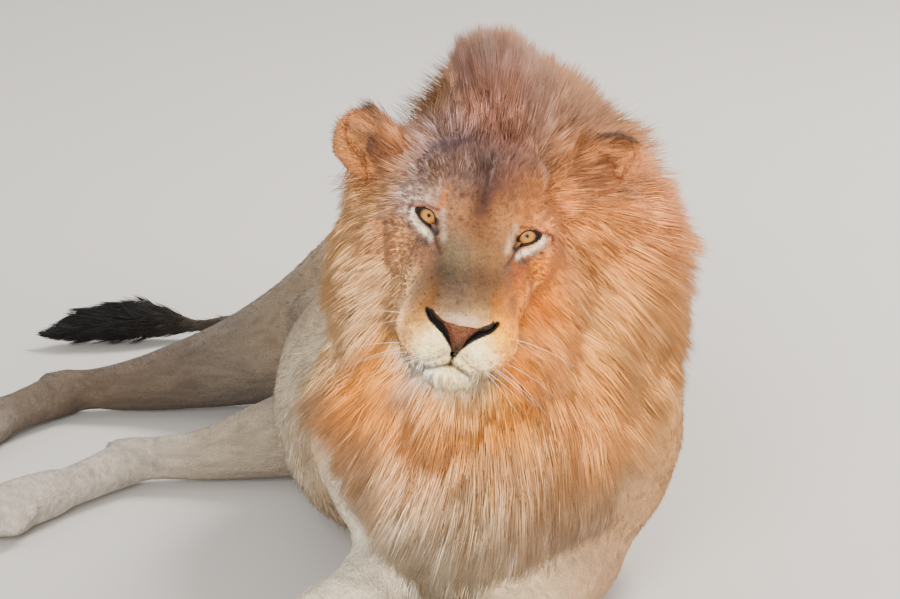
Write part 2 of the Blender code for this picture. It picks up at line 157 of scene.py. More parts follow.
# %% Label and smooth the skin
def points_of(piece, what="co"):
    data = np.empty(len(piece.data.vertices) * 3, dtype=np.float32)
    piece.data.vertices.foreach_get(what, data)
    return data.reshape(-1, 3).astype(float)


def set_points(piece, points):
    piece.data.vertices.foreach_set("co", np.asarray(points, dtype=np.float32).ravel())
    piece.data.update()


def edges_of(piece):
    data = np.empty(len(piece.data.edges) * 2, dtype=np.int32)
    piece.data.edges.foreach_get("vertices", data)
    return data.reshape(-1, 2)


def spread(values, edges, times):
    """Averages values over the surface, again and again, so that they blend from place to place."""
    values = np.asarray(values, dtype=float)
    flat = values.reshape(len(values), -1)
    count = np.bincount(edges.ravel(), minlength=len(flat))[:, None] + 1.0
    for _ in range(times):
        total = flat.copy()
        for column in range(flat.shape[1]):
            total[:, column] += np.bincount(edges[:, 0], flat[edges[:, 1], column], len(flat))
            total[:, column] += np.bincount(edges[:, 1], flat[edges[:, 0], column], len(flat))
        flat = total / count
    return flat.reshape(values.shape)


def set_group(piece, name, weights):
    group = piece.vertex_groups.get(name) or piece.vertex_groups.new(name=name)
    steps = np.round(np.clip(weights, 0, 1) * 50).astype(int)
    for step in np.unique(steps):
        group.add(np.nonzero(steps == step)[0].tolist(), step / 50, "REPLACE")


def solids_tree():
    corners, faces, owner = [], [], []
    for index, name in enumerate(FLESH):
        start = len(corners)
        corners += [vertex.co.copy() for vertex in nodes[name].data.vertices]
        for polygon in nodes[name].data.polygons:
            faces.append([start + corner for corner in polygon.vertices])
            owner.append(index)
    return BVHTree.FromPolygons(corners, faces), np.array(owner)


def label_points(points):
    tree, owner = solids_tree()
    return np.array([owner[tree.find_nearest(Vector(point))[2]] for point in points])


def belongs(labels, *starts):
    wanted = [index for index, name in enumerate(FLESH) if name.startswith(starts)]
    return np.isin(labels, wanted).astype(float)


labels = label_points(points_of(skin))
skin_edges = edges_of(skin)
fine_parts = belongs(labels, "head", "jaw", "ear", "fore_paw", "hind_foot", "tail")
set_group(skin, "broad", 1 - spread(fine_parts, skin_edges, 3))
apply(skin, "SMOOTH", factor=0.5, iterations=5)
apply(skin, "SMOOTH", factor=0.5, iterations=30, vertex_group="broad")

# %% [markdown]
# ## The length of the hair
# The face and paws carry hair a few millimetres long, the flanks a centimetre, and the mane up to
# twelve. A few named places hold a length each, and the lengths between them blend. Places on the face
# are in the head's axes.

# %% Set the lengths
FACE_LENGTHS = [  # (place in the head's axes, reach in mm, length of the hair in metres)
    ((0, 130, -30), 30, 0.0045),
    ((0, 60, 5), 30, 0.006),
    ((30, 155, -80), 22, 0.006),
    ((56, 0, 0), 20, 0.006),
    ((0, 10, 45), 26, 0.009),
    ((0, -25, 72), 20, 0.026),
    ((0, -52, 90), 20, 0.048),
    ((55, -20, 48), 24, 0.014),
    ((84, -45, 45), 24, 0.028),
    ((75, 5, -20), 24, 0.013),
    ((60, 60, -50), 20, 0.010),
    ((98, -40, -30), 22, 0.040),
    ((0, 145, -128), 16, 0.013),
    ((0, 110, -158), 22, 0.040),
    ((50, 80, -130), 20, 0.030),
    ((70, 20, -110), 24, 0.050),
    ((125, -95, 62), 24, 0.014),
]
BODY_LENGTHS = [  # (place in metres, reach, length of the hair in metres)
    ((0.01, -0.02, 0.59), 0.03, 0.058),
    ((0.01, 0.02, 0.62), 0.04, 0.050),
    ((-0.055, 0.03, 0.60), 0.035, 0.092),
    ((0.03, 0.10, 0.65), 0.05, 0.050),
    ((0.13, 0.01, 0.57), 0.03, 0.030),
    ((-0.10, 0.02, 0.57), 0.03, 0.028),
    ((0.02, 0.30, 0.54), 0.12, 0.105),
    ((0.20, 0.05, 0.50), 0.05, 0.085),
    ((0.20, 0.00, 0.42), 0.05, 0.100),
    ((0.16, -0.04, 0.34), 0.05, 0.110),
    ((-0.15, 0.02, 0.48), 0.05, 0.075),
    ((-0.16, 0.02, 0.40), 0.05, 0.085),
    ((-0.13, -0.04, 0.33), 0.05, 0.105),
    ((0.00, -0.14, 0.26), 0.06, 0.125),
    ((-0.14, -0.05, 0.22), 0.05, 0.090),
    ((0.15, -0.07, 0.22), 0.05, 0.080),
    ((0.00, -0.12, 0.13), 0.05, 0.100),
    ((-0.13, -0.06, 0.12), 0.05, 0.055),
    ((0.13, -0.05, 0.12), 0.05, 0.050),
    ((0.23, 0.10, 0.22), 0.06, 0.022),
    ((-0.20, 0.15, 0.20), 0.07, 0.044),
    ((0.00, 0.60, 0.30), 0.22, 0.014),
    ((0.05, 1.00, 0.20), 0.20, 0.014),
    ((-0.40, 0.70, 0.05), 0.22, 0.011),
    ((0.00, -0.20, 0.06), 0.07, 0.012),
    ((-0.14, -0.13, 0.07), 0.04, 0.010),
    ((0.05, -0.14, 0.07), 0.04, 0.010),
    ((0.14, 0.02, 0.08), 0.05, 0.012),
    ((-0.08, 0.04, 0.07), 0.05, 0.012),
    ((-0.08, -0.38, 0.04), 0.09, 0.008),
    ((-0.28, -0.36, 0.04), 0.09, 0.008),
    ((-0.20, 1.19, 0.02), 0.08, 0.014),
    ((-0.44, 1.13, 0.03), 0.05, 0.045),
]


# %% Blend the lengths
FACE_SHARE = 6.0  # how much more a place on the face counts than one on the body


def mirrored(rows, turn=False):
    """The rows, and again for the other side of the face.

    With turn, their directions are given in the frame's axes.
    """
    made = []
    for place, reach, value in rows:
        for flip in ([1, 1, 1], [-1, 1, 1])[: 2 if place[0] else 1]:
            there = tuple(np.array(value) * flip @ head_axes) if turn else value
            made.append((tuple(np.array(place) * flip), reach, there))
    return made


def blend_places(*groups):
    """At each point, the mix of the named places' values by how near they are.

    Each group is (points, places, share).
    """
    total, weight = 0.0, 1e-9
    for points, rows, share in groups:
        for place, reach, value in rows:
            squared = np.sum((points - place) ** 2, axis=1)
            near = (share * np.exp(-squared / (2 * reach**2)))[:, None] + 1e-8
            total = total + near * np.asarray(value, dtype=float)
            weight = weight + near
    return total / weight


def length_at(points):
    face = (in_head(points), mirrored(FACE_LENGTHS), FACE_SHARE)
    return blend_places((points, BODY_LENGTHS, 1.0), face)[:, 0]


def unit(vectors):
    return vectors / np.maximum(np.linalg.norm(vectors, axis=1), 1e-9)[:, None]


# %% [markdown]
# ## Room for the coat
# The solids reach out to the tips of the hair, so the skin lies deeper, by a share of the hair's
# length: a few millimetres under the short coat and several centimetres under the mane. It is let in by
# small steps, each followed by smoothing, so that deep parts don't fold over themselves.

# %% Let the skin in
DEPTH_SHARE = {  # how deep the coat is, as a share of the hair's length
    "": 0.36,
    "mane_crown": 0.52,
    "mane_nape": 0.42,
    "mane_ruff": 0.48,
    "mane_bib": 0.42,
    "tail_tuft": 0.30,
}
LET_IN_STEPS = 10


def per_part(table):
    """A number at each point of the skin, from a table of solids by the start of their names."""
    values = np.zeros(len(labels))
    for start, value in table.items():
        values[belongs(labels, start) > 0] = value
    return values


coat_depth = spread(length_at(points_of(skin)) * per_part(DEPTH_SHARE), skin_edges, 9)
set_group(skin, "depth", coat_depth / coat_depth.max())
for step in range(LET_IN_STEPS):
    apply(skin, "DISPLACE", strength=-coat_depth.max() / LET_IN_STEPS, mid_level=0.0, vertex_group="depth")
    apply(skin, "SMOOTH", factor=0.5, iterations=2, vertex_group="depth")
print("the coat is", (coat_depth.min() / MM).round(1), "to", (coat_depth.max() / MM).round(1), "mm deep")

# %% [markdown]
# ## The face
# The face needs a finer mesh than the trunk, so its faces are subdivided twice, and the labels are
# looked up again. Marks on the face are placed on its face plane: the head seen square from the front,
# a little from above, in millimetres from the middle of the eyes. A line drawn there lands on whatever
# surface is below it.

# %% Refine the face
FACE_TILT = math.radians(21.0)
FACE_BOX = {"half_width": 108, "back": -62, "bottom": -175, "top": 112}  # mm, in the head's axes
THROAT = (-20, -60)  # further back than the first and lower than the second is left coarse


def face_plane(points):
    """(x, height) of points on the plane that faces a person in front, and how far forward they are."""
    head = in_head(points)
    height = head[:, 2] * math.cos(FACE_TILT) - head[:, 1] * math.sin(FACE_TILT)
    return np.column_stack([head[:, 0], height]), head[:, 1]


def is_face(points):
    head = in_head(points)
    near = (np.abs(head[:, 0]) < FACE_BOX["half_width"]) & (head[:, 1] > FACE_BOX["back"])
    near &= (head[:, 2] > FACE_BOX["bottom"]) & (head[:, 2] < FACE_BOX["top"])
    return near & ((head[:, 1] > THROAT[0]) | (head[:, 2] > THROAT[1]))


def subdivide_face(piece):
    select_only(piece)
    bpy.ops.object.mode_set(mode="EDIT")
    bpy.ops.mesh.select_mode(type="FACE")
    bpy.ops.mesh.select_all(action="DESELECT")
    mesh = bmesh.from_edit_mesh(piece.data)
    centres = np.array([face.calc_center_median() for face in mesh.faces])
    for face, chosen in zip(mesh.faces, is_face(centres)):
        face.select_set(bool(chosen))
    bmesh.update_edit_mesh(piece.data)
    bpy.ops.mesh.subdivide(number_cuts=1, smoothness=0.0)
    bpy.ops.object.mode_set(mode="OBJECT")


for _ in range(2):
    subdivide_face(skin)
skin.data.update()
set_group(skin, "face", is_face(points_of(skin)).astype(float))
apply(skin, "SMOOTH", factor=0.5, iterations=5, vertex_group="face")
print("with a finer face the skin has", len(skin.data.polygons), "faces")

# %% [markdown]
# ## Lids and folds
# A cat's eye is an almond that slants up and out. Inside the almond the skin is pushed behind the
# eyeball, which opens the lids, and round it the skin is laid on the ball. Lines with a depth and a
# width press the mouth, the lip groove and the folds into the skin.

# %% Open the eyes
ALMOND = [  # the left eye's opening on the face plane, in mm from the middle of the eyeball
    (12, 5.5), (7, 8.2), (0.5, 8.6), (-6, 5.2), (-10, -2),
    (-13, -13.5), (-7.5, -10.5), (-2, -7.6), (4, -4.6), (9, -0.6),
]
LID_REACH = 14  # mm round the almond over which the skin is laid on the eyeball
LID_GAP = 0.0024  # between the eyeball and the lid's edge
LID_RISE = 0.0012  # how much further out the lid is a few millimetres away
LID_LEAST = 0.0016
BEHIND_BALL = 0.004
NOSE_DRAWN_BACK = 18  # mm


def smooth_loop(corners, each=12):
    """A closed Catmull-Rom line through the corners."""
    corners = np.array(corners, dtype=float)
    line = []
    for i in range(len(corners)):
        a, b, c, d = (corners[(i + k) % len(corners)] for k in (-1, 0, 1, 2))
        for t in np.arange(each) / each:
            square = (2 * a - 5 * b + 4 * c - d) * t**2
            cube = (3 * b - a - 3 * c + d) * t**3
            line.append(0.5 * (2 * b + (c - a) * t + square + cube))
    return np.array(line)


def line_distance(points, line):
    """How far each point is from a line of points, in as many dimensions as they have."""
    best = np.full(len(points), np.inf)
    for a, b in zip(line[:-1], line[1:]):
        along = b - a
        t = np.clip((points - a) @ along / max(along @ along, 1e-9), 0, 1)
        best = np.minimum(best, np.linalg.norm(points - a - t[:, None] * along, axis=1))
    return best


def rim_distance(points, loop):
    """How far each point is from the closed line."""
    return line_distance(points, np.vstack([loop, loop[:1]]))


def inside_loop(points, loop):
    inside = np.zeros(len(points), dtype=bool)
    for (ax, ay), (bx, by) in zip(loop, np.roll(loop, -1, axis=0)):
        crosses = (ay > points[:, 1]) != (by > points[:, 1])
        with np.errstate(divide="ignore", invalid="ignore"):
            at = (bx - ax) * (points[:, 1] - ay) / (by - ay) + ax
        inside ^= crosses & (points[:, 0] < at)
    return inside


almond_loop = smooth_loop(ALMOND)
# square out of the face plane:
face_view = head_forward * math.cos(FACE_TILT) + head_up * math.sin(FACE_TILT)


def almond_for(side):
    return almond_loop * [side, 1.0]


def eye_loop(side):
    """The almond at its place on the face plane."""
    return almond_for(side) + face_plane(EYE_CENTRES[side][None])[0]


def open_eye(points, side):
    centre = EYE_CENTRES[side]
    arm = points - centre
    reach = np.linalg.norm(arm, axis=1)
    plane, _ = face_plane(points)
    plane -= face_plane(centre[None])[0]
    loop = almond_for(side)
    gap = rim_distance(plane, loop)
    within = inside_loop(plane, loop)
    front = (arm @ face_view > 0) & (reach < 0.045)
    lid = front & ~within & (gap < LID_REACH)
    blend = (1 - np.clip(gap[lid] / LID_REACH, 0, 1)) ** 1.2
    on_ball = EYE_RADIUS + LID_GAP + LID_RISE * np.clip(gap[lid] / 4, 0, 1)
    over = np.maximum(reach[lid] * (1 - blend) + on_ball * blend, EYE_RADIUS + LID_LEAST)
    points[lid] = centre + arm[lid] * (over / reach[lid])[:, None]
    hidden = front & within
    points[hidden] = centre + arm[hidden] * ((EYE_RADIUS - BEHIND_BALL) / reach[hidden])[:, None]


NOSE_EDGE = [  # half the outline of the bare nose on the face plane
    (0, -104), (12, -103), (22, -101), (31, -96.5), (38, -91.5), (40, -94),
    (34.5, -102.5), (26.5, -108.5), (18, -114.5), (10, -122.5), (4.2, -130), (2.2, -138),
]


def nose_loop():
    right = np.array(NOSE_EDGE, dtype=float)
    return smooth_loop(np.vstack([right, right[:0:-1] * [-1.0, 1.0]]), 4)


def open_nose(points):
    """Draws the skin back from the bare leather."""
    plane, forward = face_plane(points)
    loop = nose_loop()
    within = inside_loop(plane, loop) & (forward > 100)
    gap = rim_distance(plane[within], loop)
    points[within] -= face_view * (np.clip(gap / 1.5, 0.3, 1) * NOSE_DRAWN_BACK * MM)[:, None]


skin_points = points_of(skin)
for side in (1, -1):
    open_eye(skin_points, side)
open_nose(skin_points)
set_points(skin, skin_points)

# %% Press in the mouth and the folds
MOUTH = [(0, -148), (9, -151), (21, -156.5), (34, -160), (46, -158), (56, -153)]
PHILTRUM = [(0, -128), (0, -138), (0, -148)]
FOLDS = [  # (line on the face plane, half its width, its depth) in mm: a negative depth stands out
    (MOUTH, 3.0, 4.0),
    (PHILTRUM, 2.4, 3.0),
    ([(82, 7), (71, 9), (59, 13), (47, 10)], 1.9, 1.5),
    ([(74, -9), (62, -20), (49, -28)], 2.6, 1.0),
    ([(45, -22), (40, -38), (43, -62)], 4.0, 1.8),
    ([(76, 17), (60, 23), (42, 20)], 5.5, -2.6),
    ([(33, 4), (29, 22), (26, 40)], 5.0, -1.4),
    ([(60, -60), (62, -95), (62, -128)], 6.0, 2.0),
    ([(44, -62), (48, -90), (50, -118)], 7.0, -1.6),
    ([(0, 30), (0, 70)], 2.0, 1.6),
]


def two_sided(line):
    line = np.array(line, dtype=float)
    return line, line * [-1.0, 1.0]


def press(points, normals, line, half_width, depth):
    plane, forward = face_plane(points)
    facing = np.clip(normals @ face_view * 2, 0, 1) * (forward > -30)
    for side_line in two_sided(line):
        gap = line_distance(plane, side_line)
        points -= normals * (facing * depth * MM * np.exp(-((gap / half_width) ** 2)))[:, None]


skin_points = points_of(skin)
skin_normals = points_of(skin, "normal")
for line, half_width, depth in FOLDS:
    press(skin_points, skin_normals, line, half_width, depth)
set_points(skin, skin_points)
skin_triangles = sum(len(polygon.vertices) - 2 for polygon in skin.data.polygons)
apply(skin, "DECIMATE", ratio=SKIN_TRIANGLES / skin_triangles, vertex_group="broad")
select_only(skin)
bpy.ops.object.shade_smooth()

skin_points = points_of(skin)
labels = label_points(skin_points)
skin_edges = edges_of(skin)
hair_length = length_at(skin_points)
print("the sculpted skin has", len(skin_points), "points and", len(skin.data.polygons), "faces")
print("the hair is", (hair_length.min() / MM).round(1), "to", (hair_length.max() / MM).round(1), "mm")

# %% [markdown]
# ## The colours of the coat
# Skin and hair carry the same markings, so one function gives the colour at any place. Broad colours
# come from named places that blend into each other, some with painted light and shade in them. The sharp
# markings of the face, such as the black lids, tear lines, white patches and the stripe up the forehead,
# are lines and spots on the face plane, beside a painted shade line over each upper lid and a painted
# highlight above the nose.

# %% Mix the coat's colours
# The lion's right side (negative x) is greyer, and darker on the bridge and the muzzle, and its left side
# warmer: partly the coat's own tone, partly painted shade on the right side and painted light on the left.
FACE_COLOURS = [  # (place on the face plane, how far it reaches in mm, sRGB colour)
    ((0, -5), 14, (102, 65, 41)),
    ((12, -26), 13, (127, 92, 64)),
    ((-12, -26), 13, (107, 93, 73)),
    ((15, -50), 13, (72, 47, 29)),
    ((-14, -52), 14, (49, 37, 25)),
    ((12, -72), 11, (112, 87, 67)),
    ((-12, -74), 11, (92, 76, 64)),
    ((14, -90), 8, (179, 141, 104)),
    ((-14, -90), 8, (135, 109, 82)),
    ((28, 20), 14, (154, 110, 79)),
    ((-28, 20), 14, (144, 102, 76)),
    ((22, 50), 16, (93, 58, 45)),
    ((-22, 50), 16, (88, 65, 58)),
    ((52, 42), 18, (143, 90, 52)),
    ((-52, 42), 18, (149, 115, 97)),
    ((20, 85), 16, (111, 78, 66)),
    ((-20, 85), 16, (121, 90, 79)),
    ((85, 28), 18, (228, 158, 114)),
    ((-85, 28), 18, (207, 181, 168)),
    ((62, -36), 11, (111, 52, 25)),
    ((-62, -36), 11, (118, 84, 67)),
    ((82, -36), 14, (255, 166, 95)),
    ((-82, -36), 14, (196, 146, 106)),
    ((106, -25), 16, (205, 149, 113)),
    ((-106, -25), 16, (213, 161, 125)),
    ((48, -72), 11, (155, 94, 39)),
    ((-48, -72), 11, (89, 57, 35)),
    ((48, -92), 9, (216, 146, 70)),
    ((-48, -92), 9, (112, 68, 38)),
    ((28, -128), 13, (255, 232, 186)),
    ((-28, -128), 13, (255, 232, 184)),
    ((52, -116), 10, (255, 174, 98)),
    ((-52, -116), 10, (184, 138, 81)),
    ((44, -108), 8, (255, 185, 103)),
    ((-44, -108), 8, (184, 132, 87)),
    ((50, -172), 9, (255, 236, 188)),
    ((-50, -172), 9, (255, 203, 136)),
    ((44, -188), 9, (255, 209, 147)),
    ((-44, -188), 9, (255, 178, 117)),
    ((0, -170), 13, (255, 233, 189)),
    ((30, -170), 12, (255, 245, 220)),
    ((-30, -170), 12, (253, 255, 251)),
    ((78, -80), 15, (254, 166, 93)),
    ((-78, -80), 15, (255, 212, 168)),
    ((84, -120), 16, (255, 185, 126)),
    ((-84, -120), 16, (253, 208, 166)),
    ((70, -150), 14, (251, 156, 71)),
    ((-70, -150), 14, (185, 122, 64)),
    ((56, -186), 14, (255, 177, 84)),
    ((-56, -186), 14, (255, 180, 96)),
    ((0, -214), 14, (255, 170, 89)),
    ((30, -210), 14, (255, 181, 92)),
    ((-30, -210), 14, (255, 177, 94)),
    ((0, -250), 24, (252, 186, 130)),
    ((70, -225), 24, (178, 119, 70)),
    ((-70, -225), 24, (225, 149, 86)),
]
BODY_COLOURS = [  # (place in metres, how far it reaches, sRGB colour)
    ((0.01, 0.06, 0.66), 0.03, (92, 66, 64)),
    ((0.06, 0.06, 0.64), 0.03, (120, 93, 82)),
    ((-0.04, 0.03, 0.63), 0.03, (166, 142, 140)),
    ((0.00, 0.01, 0.62), 0.03, (158, 102, 75)),
    ((0.06, 0.02, 0.60), 0.03, (121, 90, 77)),
    ((0.11, 0.06, 0.60), 0.04, (134, 102, 84)),
    ((-0.03, -0.02, 0.59), 0.03, (154, 137, 141)),
    ((0.02, -0.02, 0.59), 0.025, (130, 78, 55)),
    ((-0.06, 0.04, 0.58), 0.04, (179, 145, 131)),
    ((0.02, 0.14, 0.65), 0.05, (150, 112, 88)),
    ((0.02, 0.30, 0.52), 0.12, (132, 94, 64)),
    ((0.23, 0.08, 0.46), 0.05, (212, 152, 114)),
    ((0.15, 0.00, 0.44), 0.05, (212, 149, 96)),
    ((0.15, 0.00, 0.34), 0.05, (236, 184, 130)),
    ((0.22, 0.10, 0.36), 0.05, (228, 170, 116)),
    ((-0.17, 0.03, 0.46), 0.05, (238, 194, 148)),
    ((-0.14, 0.00, 0.36), 0.05, (255, 216, 172)),
    ((0.00, -0.13, 0.30), 0.05, (255, 199, 135)),
    ((0.00, -0.15, 0.24), 0.04, (188, 144, 95)),
    ((-0.12, -0.08, 0.22), 0.05, (246, 196, 148)),
    ((-0.02, -0.12, 0.10), 0.05, (200, 190, 168)),
    ((-0.07, -0.12, 0.15), 0.04, (198, 188, 168)),
    ((0.04, -0.14, 0.15), 0.04, (118, 100, 86)),
    ((0.00, -0.17, 0.20), 0.04, (189, 151, 105)),
    ((0.10, -0.12, 0.22), 0.05, (198, 144, 98)),
    ((0.11, -0.10, 0.14), 0.04, (150, 134, 116)),
    ((0.14, -0.08, 0.30), 0.035, (204, 142, 90)),
    ((0.11, -0.11, 0.26), 0.03, (190, 130, 84)),
    ((0.19, 0.00, 0.27), 0.035, (220, 166, 114)),
    ((-0.03, -0.13, 0.155), 0.03, (168, 142, 114)),
    ((-0.18, 0.17, 0.11), 0.05, (148, 126, 104)),
    ((-0.20, 0.20, 0.20), 0.09, (173, 160, 141)),
    ((-0.18, 0.10, 0.30), 0.06, (199, 159, 113)),
    ((0.22, 0.16, 0.20), 0.09, (168, 128, 92)),
    ((0.05, 0.50, 0.42), 0.14, (134, 104, 72)),
    ((0.18, 0.60, 0.20), 0.14, (156, 121, 84)),
    # From here to the row at (-0.20, 0.55, 0.10), the hind legs: their grey-brown tone with painted shade,
    # darkest under and between the thighs, and painted light along the top of the thigh.
    ((-0.20, 0.52, 0.18), 0.10, (131, 115, 97)),
    ((0.10, 1.00, 0.30), 0.14, (136, 107, 75)),
    ((-0.10, 0.86, 0.30), 0.12, (162, 140, 114)),
    ((-0.22, 0.75, 0.14), 0.05, (128, 112, 94)),
    ((-0.30, 0.50, 0.05), 0.06, (128, 116, 98)),
    # this row and the next: painted shade under the thighs and low by the ground
    ((-0.26, 0.80, 0.14), 0.09, (83, 78, 74)),
    ((-0.45, 0.82, 0.04), 0.10, (84, 73, 64)),
    ((-0.20, 0.55, 0.10), 0.10, (112, 108, 102)),
    ((-0.42, 0.48, 0.05), 0.10, (163, 155, 146)),
    ((0.14, 0.00, 0.10), 0.07, (158, 130, 106)),
    ((0.02, -0.18, 0.08), 0.09, (214, 186, 154)),
    ((-0.14, -0.10, 0.09), 0.09, (200, 195, 182)),
    ((-0.08, -0.40, 0.05), 0.10, (206, 180, 148)),
    ((-0.28, -0.36, 0.05), 0.10, (206, 184, 154)),
    ((0.12, 1.12, 0.08), 0.10, (150, 116, 84)),
    ((0.05, 1.18, 0.04), 0.10, (140, 112, 84)),
    ((-0.25, 1.18, 0.03), 0.07, (104, 92, 80)),
    ((-0.36, 1.14, 0.03), 0.05, (14, 13, 13)),
    ((-0.52, 1.11, 0.03), 0.07, (8, 8, 8)),
    ((0.15, 0.02, 0.53), 0.03, (226, 160, 116)),
    ((-0.12, 0.01, 0.53), 0.03, (188, 136, 90)),
    ((0.10, 0.40, 0.04), 0.10, (206, 170, 128)),
]
MARKS = [  # (line on the face plane, half its width in mm, how strong, sRGB colour)
    ([(0, 22), (0, 50), (0, 78)], 4.4, 1.0, (12, 7, 4)),
    ([(0, 20), (0, 50), (0, 96)], 11.0, 0.75, (80, 48, 34)),
    ([(75, 2), (71, -6), (62, -13), (49, -20)], 3.8, 1.0, (252, 234, 208)),
    ([(74, -13), (62, -22), (52, -27)], 4.0, 0.75, (88, 70, 60)),
    ([(46, -13), (42, -23), (36, -33)], 2.3, 1.0, (70, 34, 14)),
    ([(40, -34), (46, -56), (55, -80)], 5.0, 0.45, (96, 70, 54)),
    ([(40, 36), (43, 25), (43, 15)], 3.0, 1.0, (176, 104, 48)),
    ([(40, 10), (38, -2), (35, -17)], 3.4, 0.42, (228, 196, 160)),
    # painted shade along the crease over the upper lid, which FOLDS also presses in
    ([(84, 7), (71, 9), (59, 12.5), (46, 10)], 1.9, 1.0, (120, 58, 34)),
    ([(72, -46), (70, -66), (72, -86)], 6.0, 0.45, (216, 146, 82)),
    (MOUTH, 2.3, 0.95, (40, 26, 22)),
    (PHILTRUM, 1.8, 0.95, (48, 30, 26)),
    # a painted highlight across the bridge just above the nose
    ([(0, -96), (14, -95.5)], 5.5, 0.5, (206, 176, 148)),
]
FLECKS = [  # (place on the face plane, its radius in mm), one side only
    (-37, -27, 1.3), (26, -26, 1.2), (-13, -58, 1.5), (-9, -79, 1.4), (3, -90, 1.0), (-20, -66, 1.1),
    (12, -48, 1.0), (-6, -66, 1.2), (-24, -52, 1.2), (8, -62, 1.1), (-30, -76, 1.3), (20, -70, 1.0),
    (-2, -44, 1.0), (30, -58, 1.1), (-40, -60, 1.4), (-44, -78, 1.2), (14, -82, 0.9), (-16, -90, 0.9),
    (-10, 8, 1.2), (22, 2, 1.0), (-28, 10, 1.1), (44, -112, 1.0), (52, -104, 0.9), (38, -104, 0.9),
    (48, -122, 1.0), (-44, -112, 1.0), (-52, -104, 0.9), (-50, -122, 1.0),
]
LID_BLACK = (22, 16, 14)
NOSE_BLACK = (20, 15, 14)
EAR_INSIDE = (188, 118, 64)
# painted shade for the hollow inside each ear
EAR_HOLLOW_SHADE = (90, 50, 30)
EAR_BACK = (52, 38, 32)
EAR_STRENGTH = 0.85
HOLLOW_SHADE_SIZE = 15  # mm, how far the painted shade in the ear's hollow reaches
TIP_HEIGHT = 37  # mm over the middle of the ear
RICHNESS = 1.32  # how much further from grey the colours are than the named ones


# %% Mix the colours
def linear(colour):
    colour = np.asarray(colour, dtype=float) / 255
    return np.where(colour < 0.04045, colour / 12.92, ((colour + 0.055) / 1.055) ** 2.4)


def within_white(colours):
    """Colours brighter than white are dimmed as a whole, so that they keep their hue."""
    return np.maximum(colours, 0.002) / np.maximum(colours.max(axis=-1, keepdims=True), 1)


def wander(points, size):
    """Smooth random numbers that change over about that size, three for each point."""
    return np.array([noise_vector(Vector(point)) for point in np.asarray(points) / size])


def linear_rows(rows):
    return [(place, reach, linear(colour)) for place, reach, colour in rows]


def coat_colour(points):
    """The coat's linear colour at each point."""
    plane, forward = face_plane(points)
    front = 10 / (1 + np.exp(-(forward + 50) / 10))
    body = (points, linear_rows(BODY_COLOURS), 1.0)
    colours = blend_places(body, (plane, linear_rows(FACE_COLOURS), front))
    grey = colours.mean(axis=1, keepdims=True)
    colours = within_white(grey + (colours - grey) * RICHNESS)
    spots = np.clip(wander(points, 0.022)[:, :1] * 2.2 - 0.5, 0, 1) * (points[:, 1:2] > 0.42)
    mottle = 0.30 * wander(points, 0.008)[:, :1] + 0.25 * wander(points, 0.0035)[:, 1:2]
    return colours * (1 - 0.22 * spots) * (1 + mottle)


def laid_over(colours, share, colour):
    """The sRGB colour laid over the others, by a share at each point."""
    return colours * (1 - share[:, None]) + linear(colour) * share[:, None]


def face_marks(points, colours):
    """Lays the sharp markings of the face over the colours, with the painted shade line over each upper lid
    and the painted highlight above the nose.
    """
    plane, forward = face_plane(points)
    front = 1 / (1 + np.exp(-(forward + 45) / 6))
    for line, half_width, strength, colour in MARKS:
        for side_line in two_sided(line):
            gap = line_distance(plane, side_line)
            share = strength * front * np.exp(-((gap / half_width) ** 2))
            colours = laid_over(colours, share, colour)
    for side in (1, -1):
        loop = eye_loop(side)
        upper = plane[:, 1] > loop[:, 1].mean() + 3
        gap = rim_distance(plane, loop) + np.where(upper, 1.5, 0)
        colours = laid_over(colours, front * np.exp(-((gap / 2.7) ** 4)), LID_BLACK)
    loop = nose_loop()
    within = inside_loop(plane, loop)
    gap = rim_distance(plane, loop)
    low = (plane[:, 1] < -102) | (np.abs(plane[:, 0]) > 30)
    colours = laid_over(colours, front * low * np.exp(-((gap * ~within / 1.3) ** 4)), NOSE_BLACK)
    colours = laid_over(colours, front * np.clip((gap * within - 1) / 2, 0, 1), NOSE_BLACK)
    for x, height, radius in FLECKS:
        gap = np.hypot(plane[:, 0] - x, plane[:, 1] - height)
        colours = colours * (1 - 0.7 * front * np.exp(-((gap / radius) ** 2)))[:, None]
    return colours


def ear_mark(points, colours, labels_here):
    """The black patch on the back of each ear, its warm inside, and painted shade in the hollow of that."""
    for side, name in ((1, "ear_left"), (-1, "ear_right")):
        middle = in_head(middle_of(name)[None])[0]
        ear = belongs(labels_here, name)
        arm = in_head(points) - middle
        behind = np.clip((-arm[:, 1] - 13) / 5, 0, 1) * ear
        inside = (1 - behind) * ear
        from_hollow = np.sum((arm[:, ::2] - [-6.0 * side, -4.0]) ** 2, axis=1)
        # painted shade, darkest in the middle of the ear's hollow
        hollow_shade = np.exp(-from_hollow / (2 * HOLLOW_SHADE_SIZE**2)) * inside
        tip = np.clip((arm[:, 2] - TIP_HEIGHT) / 5, 0, 1) * ear
        for share, colour in ((inside, EAR_INSIDE), (hollow_shade * 0.9, EAR_HOLLOW_SHADE), (behind + tip, EAR_BACK)):
            colours = laid_over(colours, np.clip(share, 0, 1) * EAR_STRENGTH, colour)
    return colours


def store_colour(piece, colours):
    attribute = piece.data.color_attributes.new("coat", "FLOAT_COLOR", "POINT")
    rgba = np.column_stack([colours, np.ones(len(colours))]).astype(np.float32)
    attribute.data.foreach_set("color", rgba.ravel())


skin_points = points_of(skin)
skin_colours = face_marks(skin_points, ear_mark(skin_points, coat_colour(skin_points), labels))
store_colour(skin, np.clip(skin_colours, 0, 1))


# %% [markdown]
# ## Finishes
# Shader maths reads best as plain expressions, so one small class wraps a socket and adds a Math node
# for each operator. Every other node comes from its one method, make, and feed leads the result into a
# shader. The skin's finish reads the colours that its points store, mottles them a little, and raises
# fine fur in its bump.

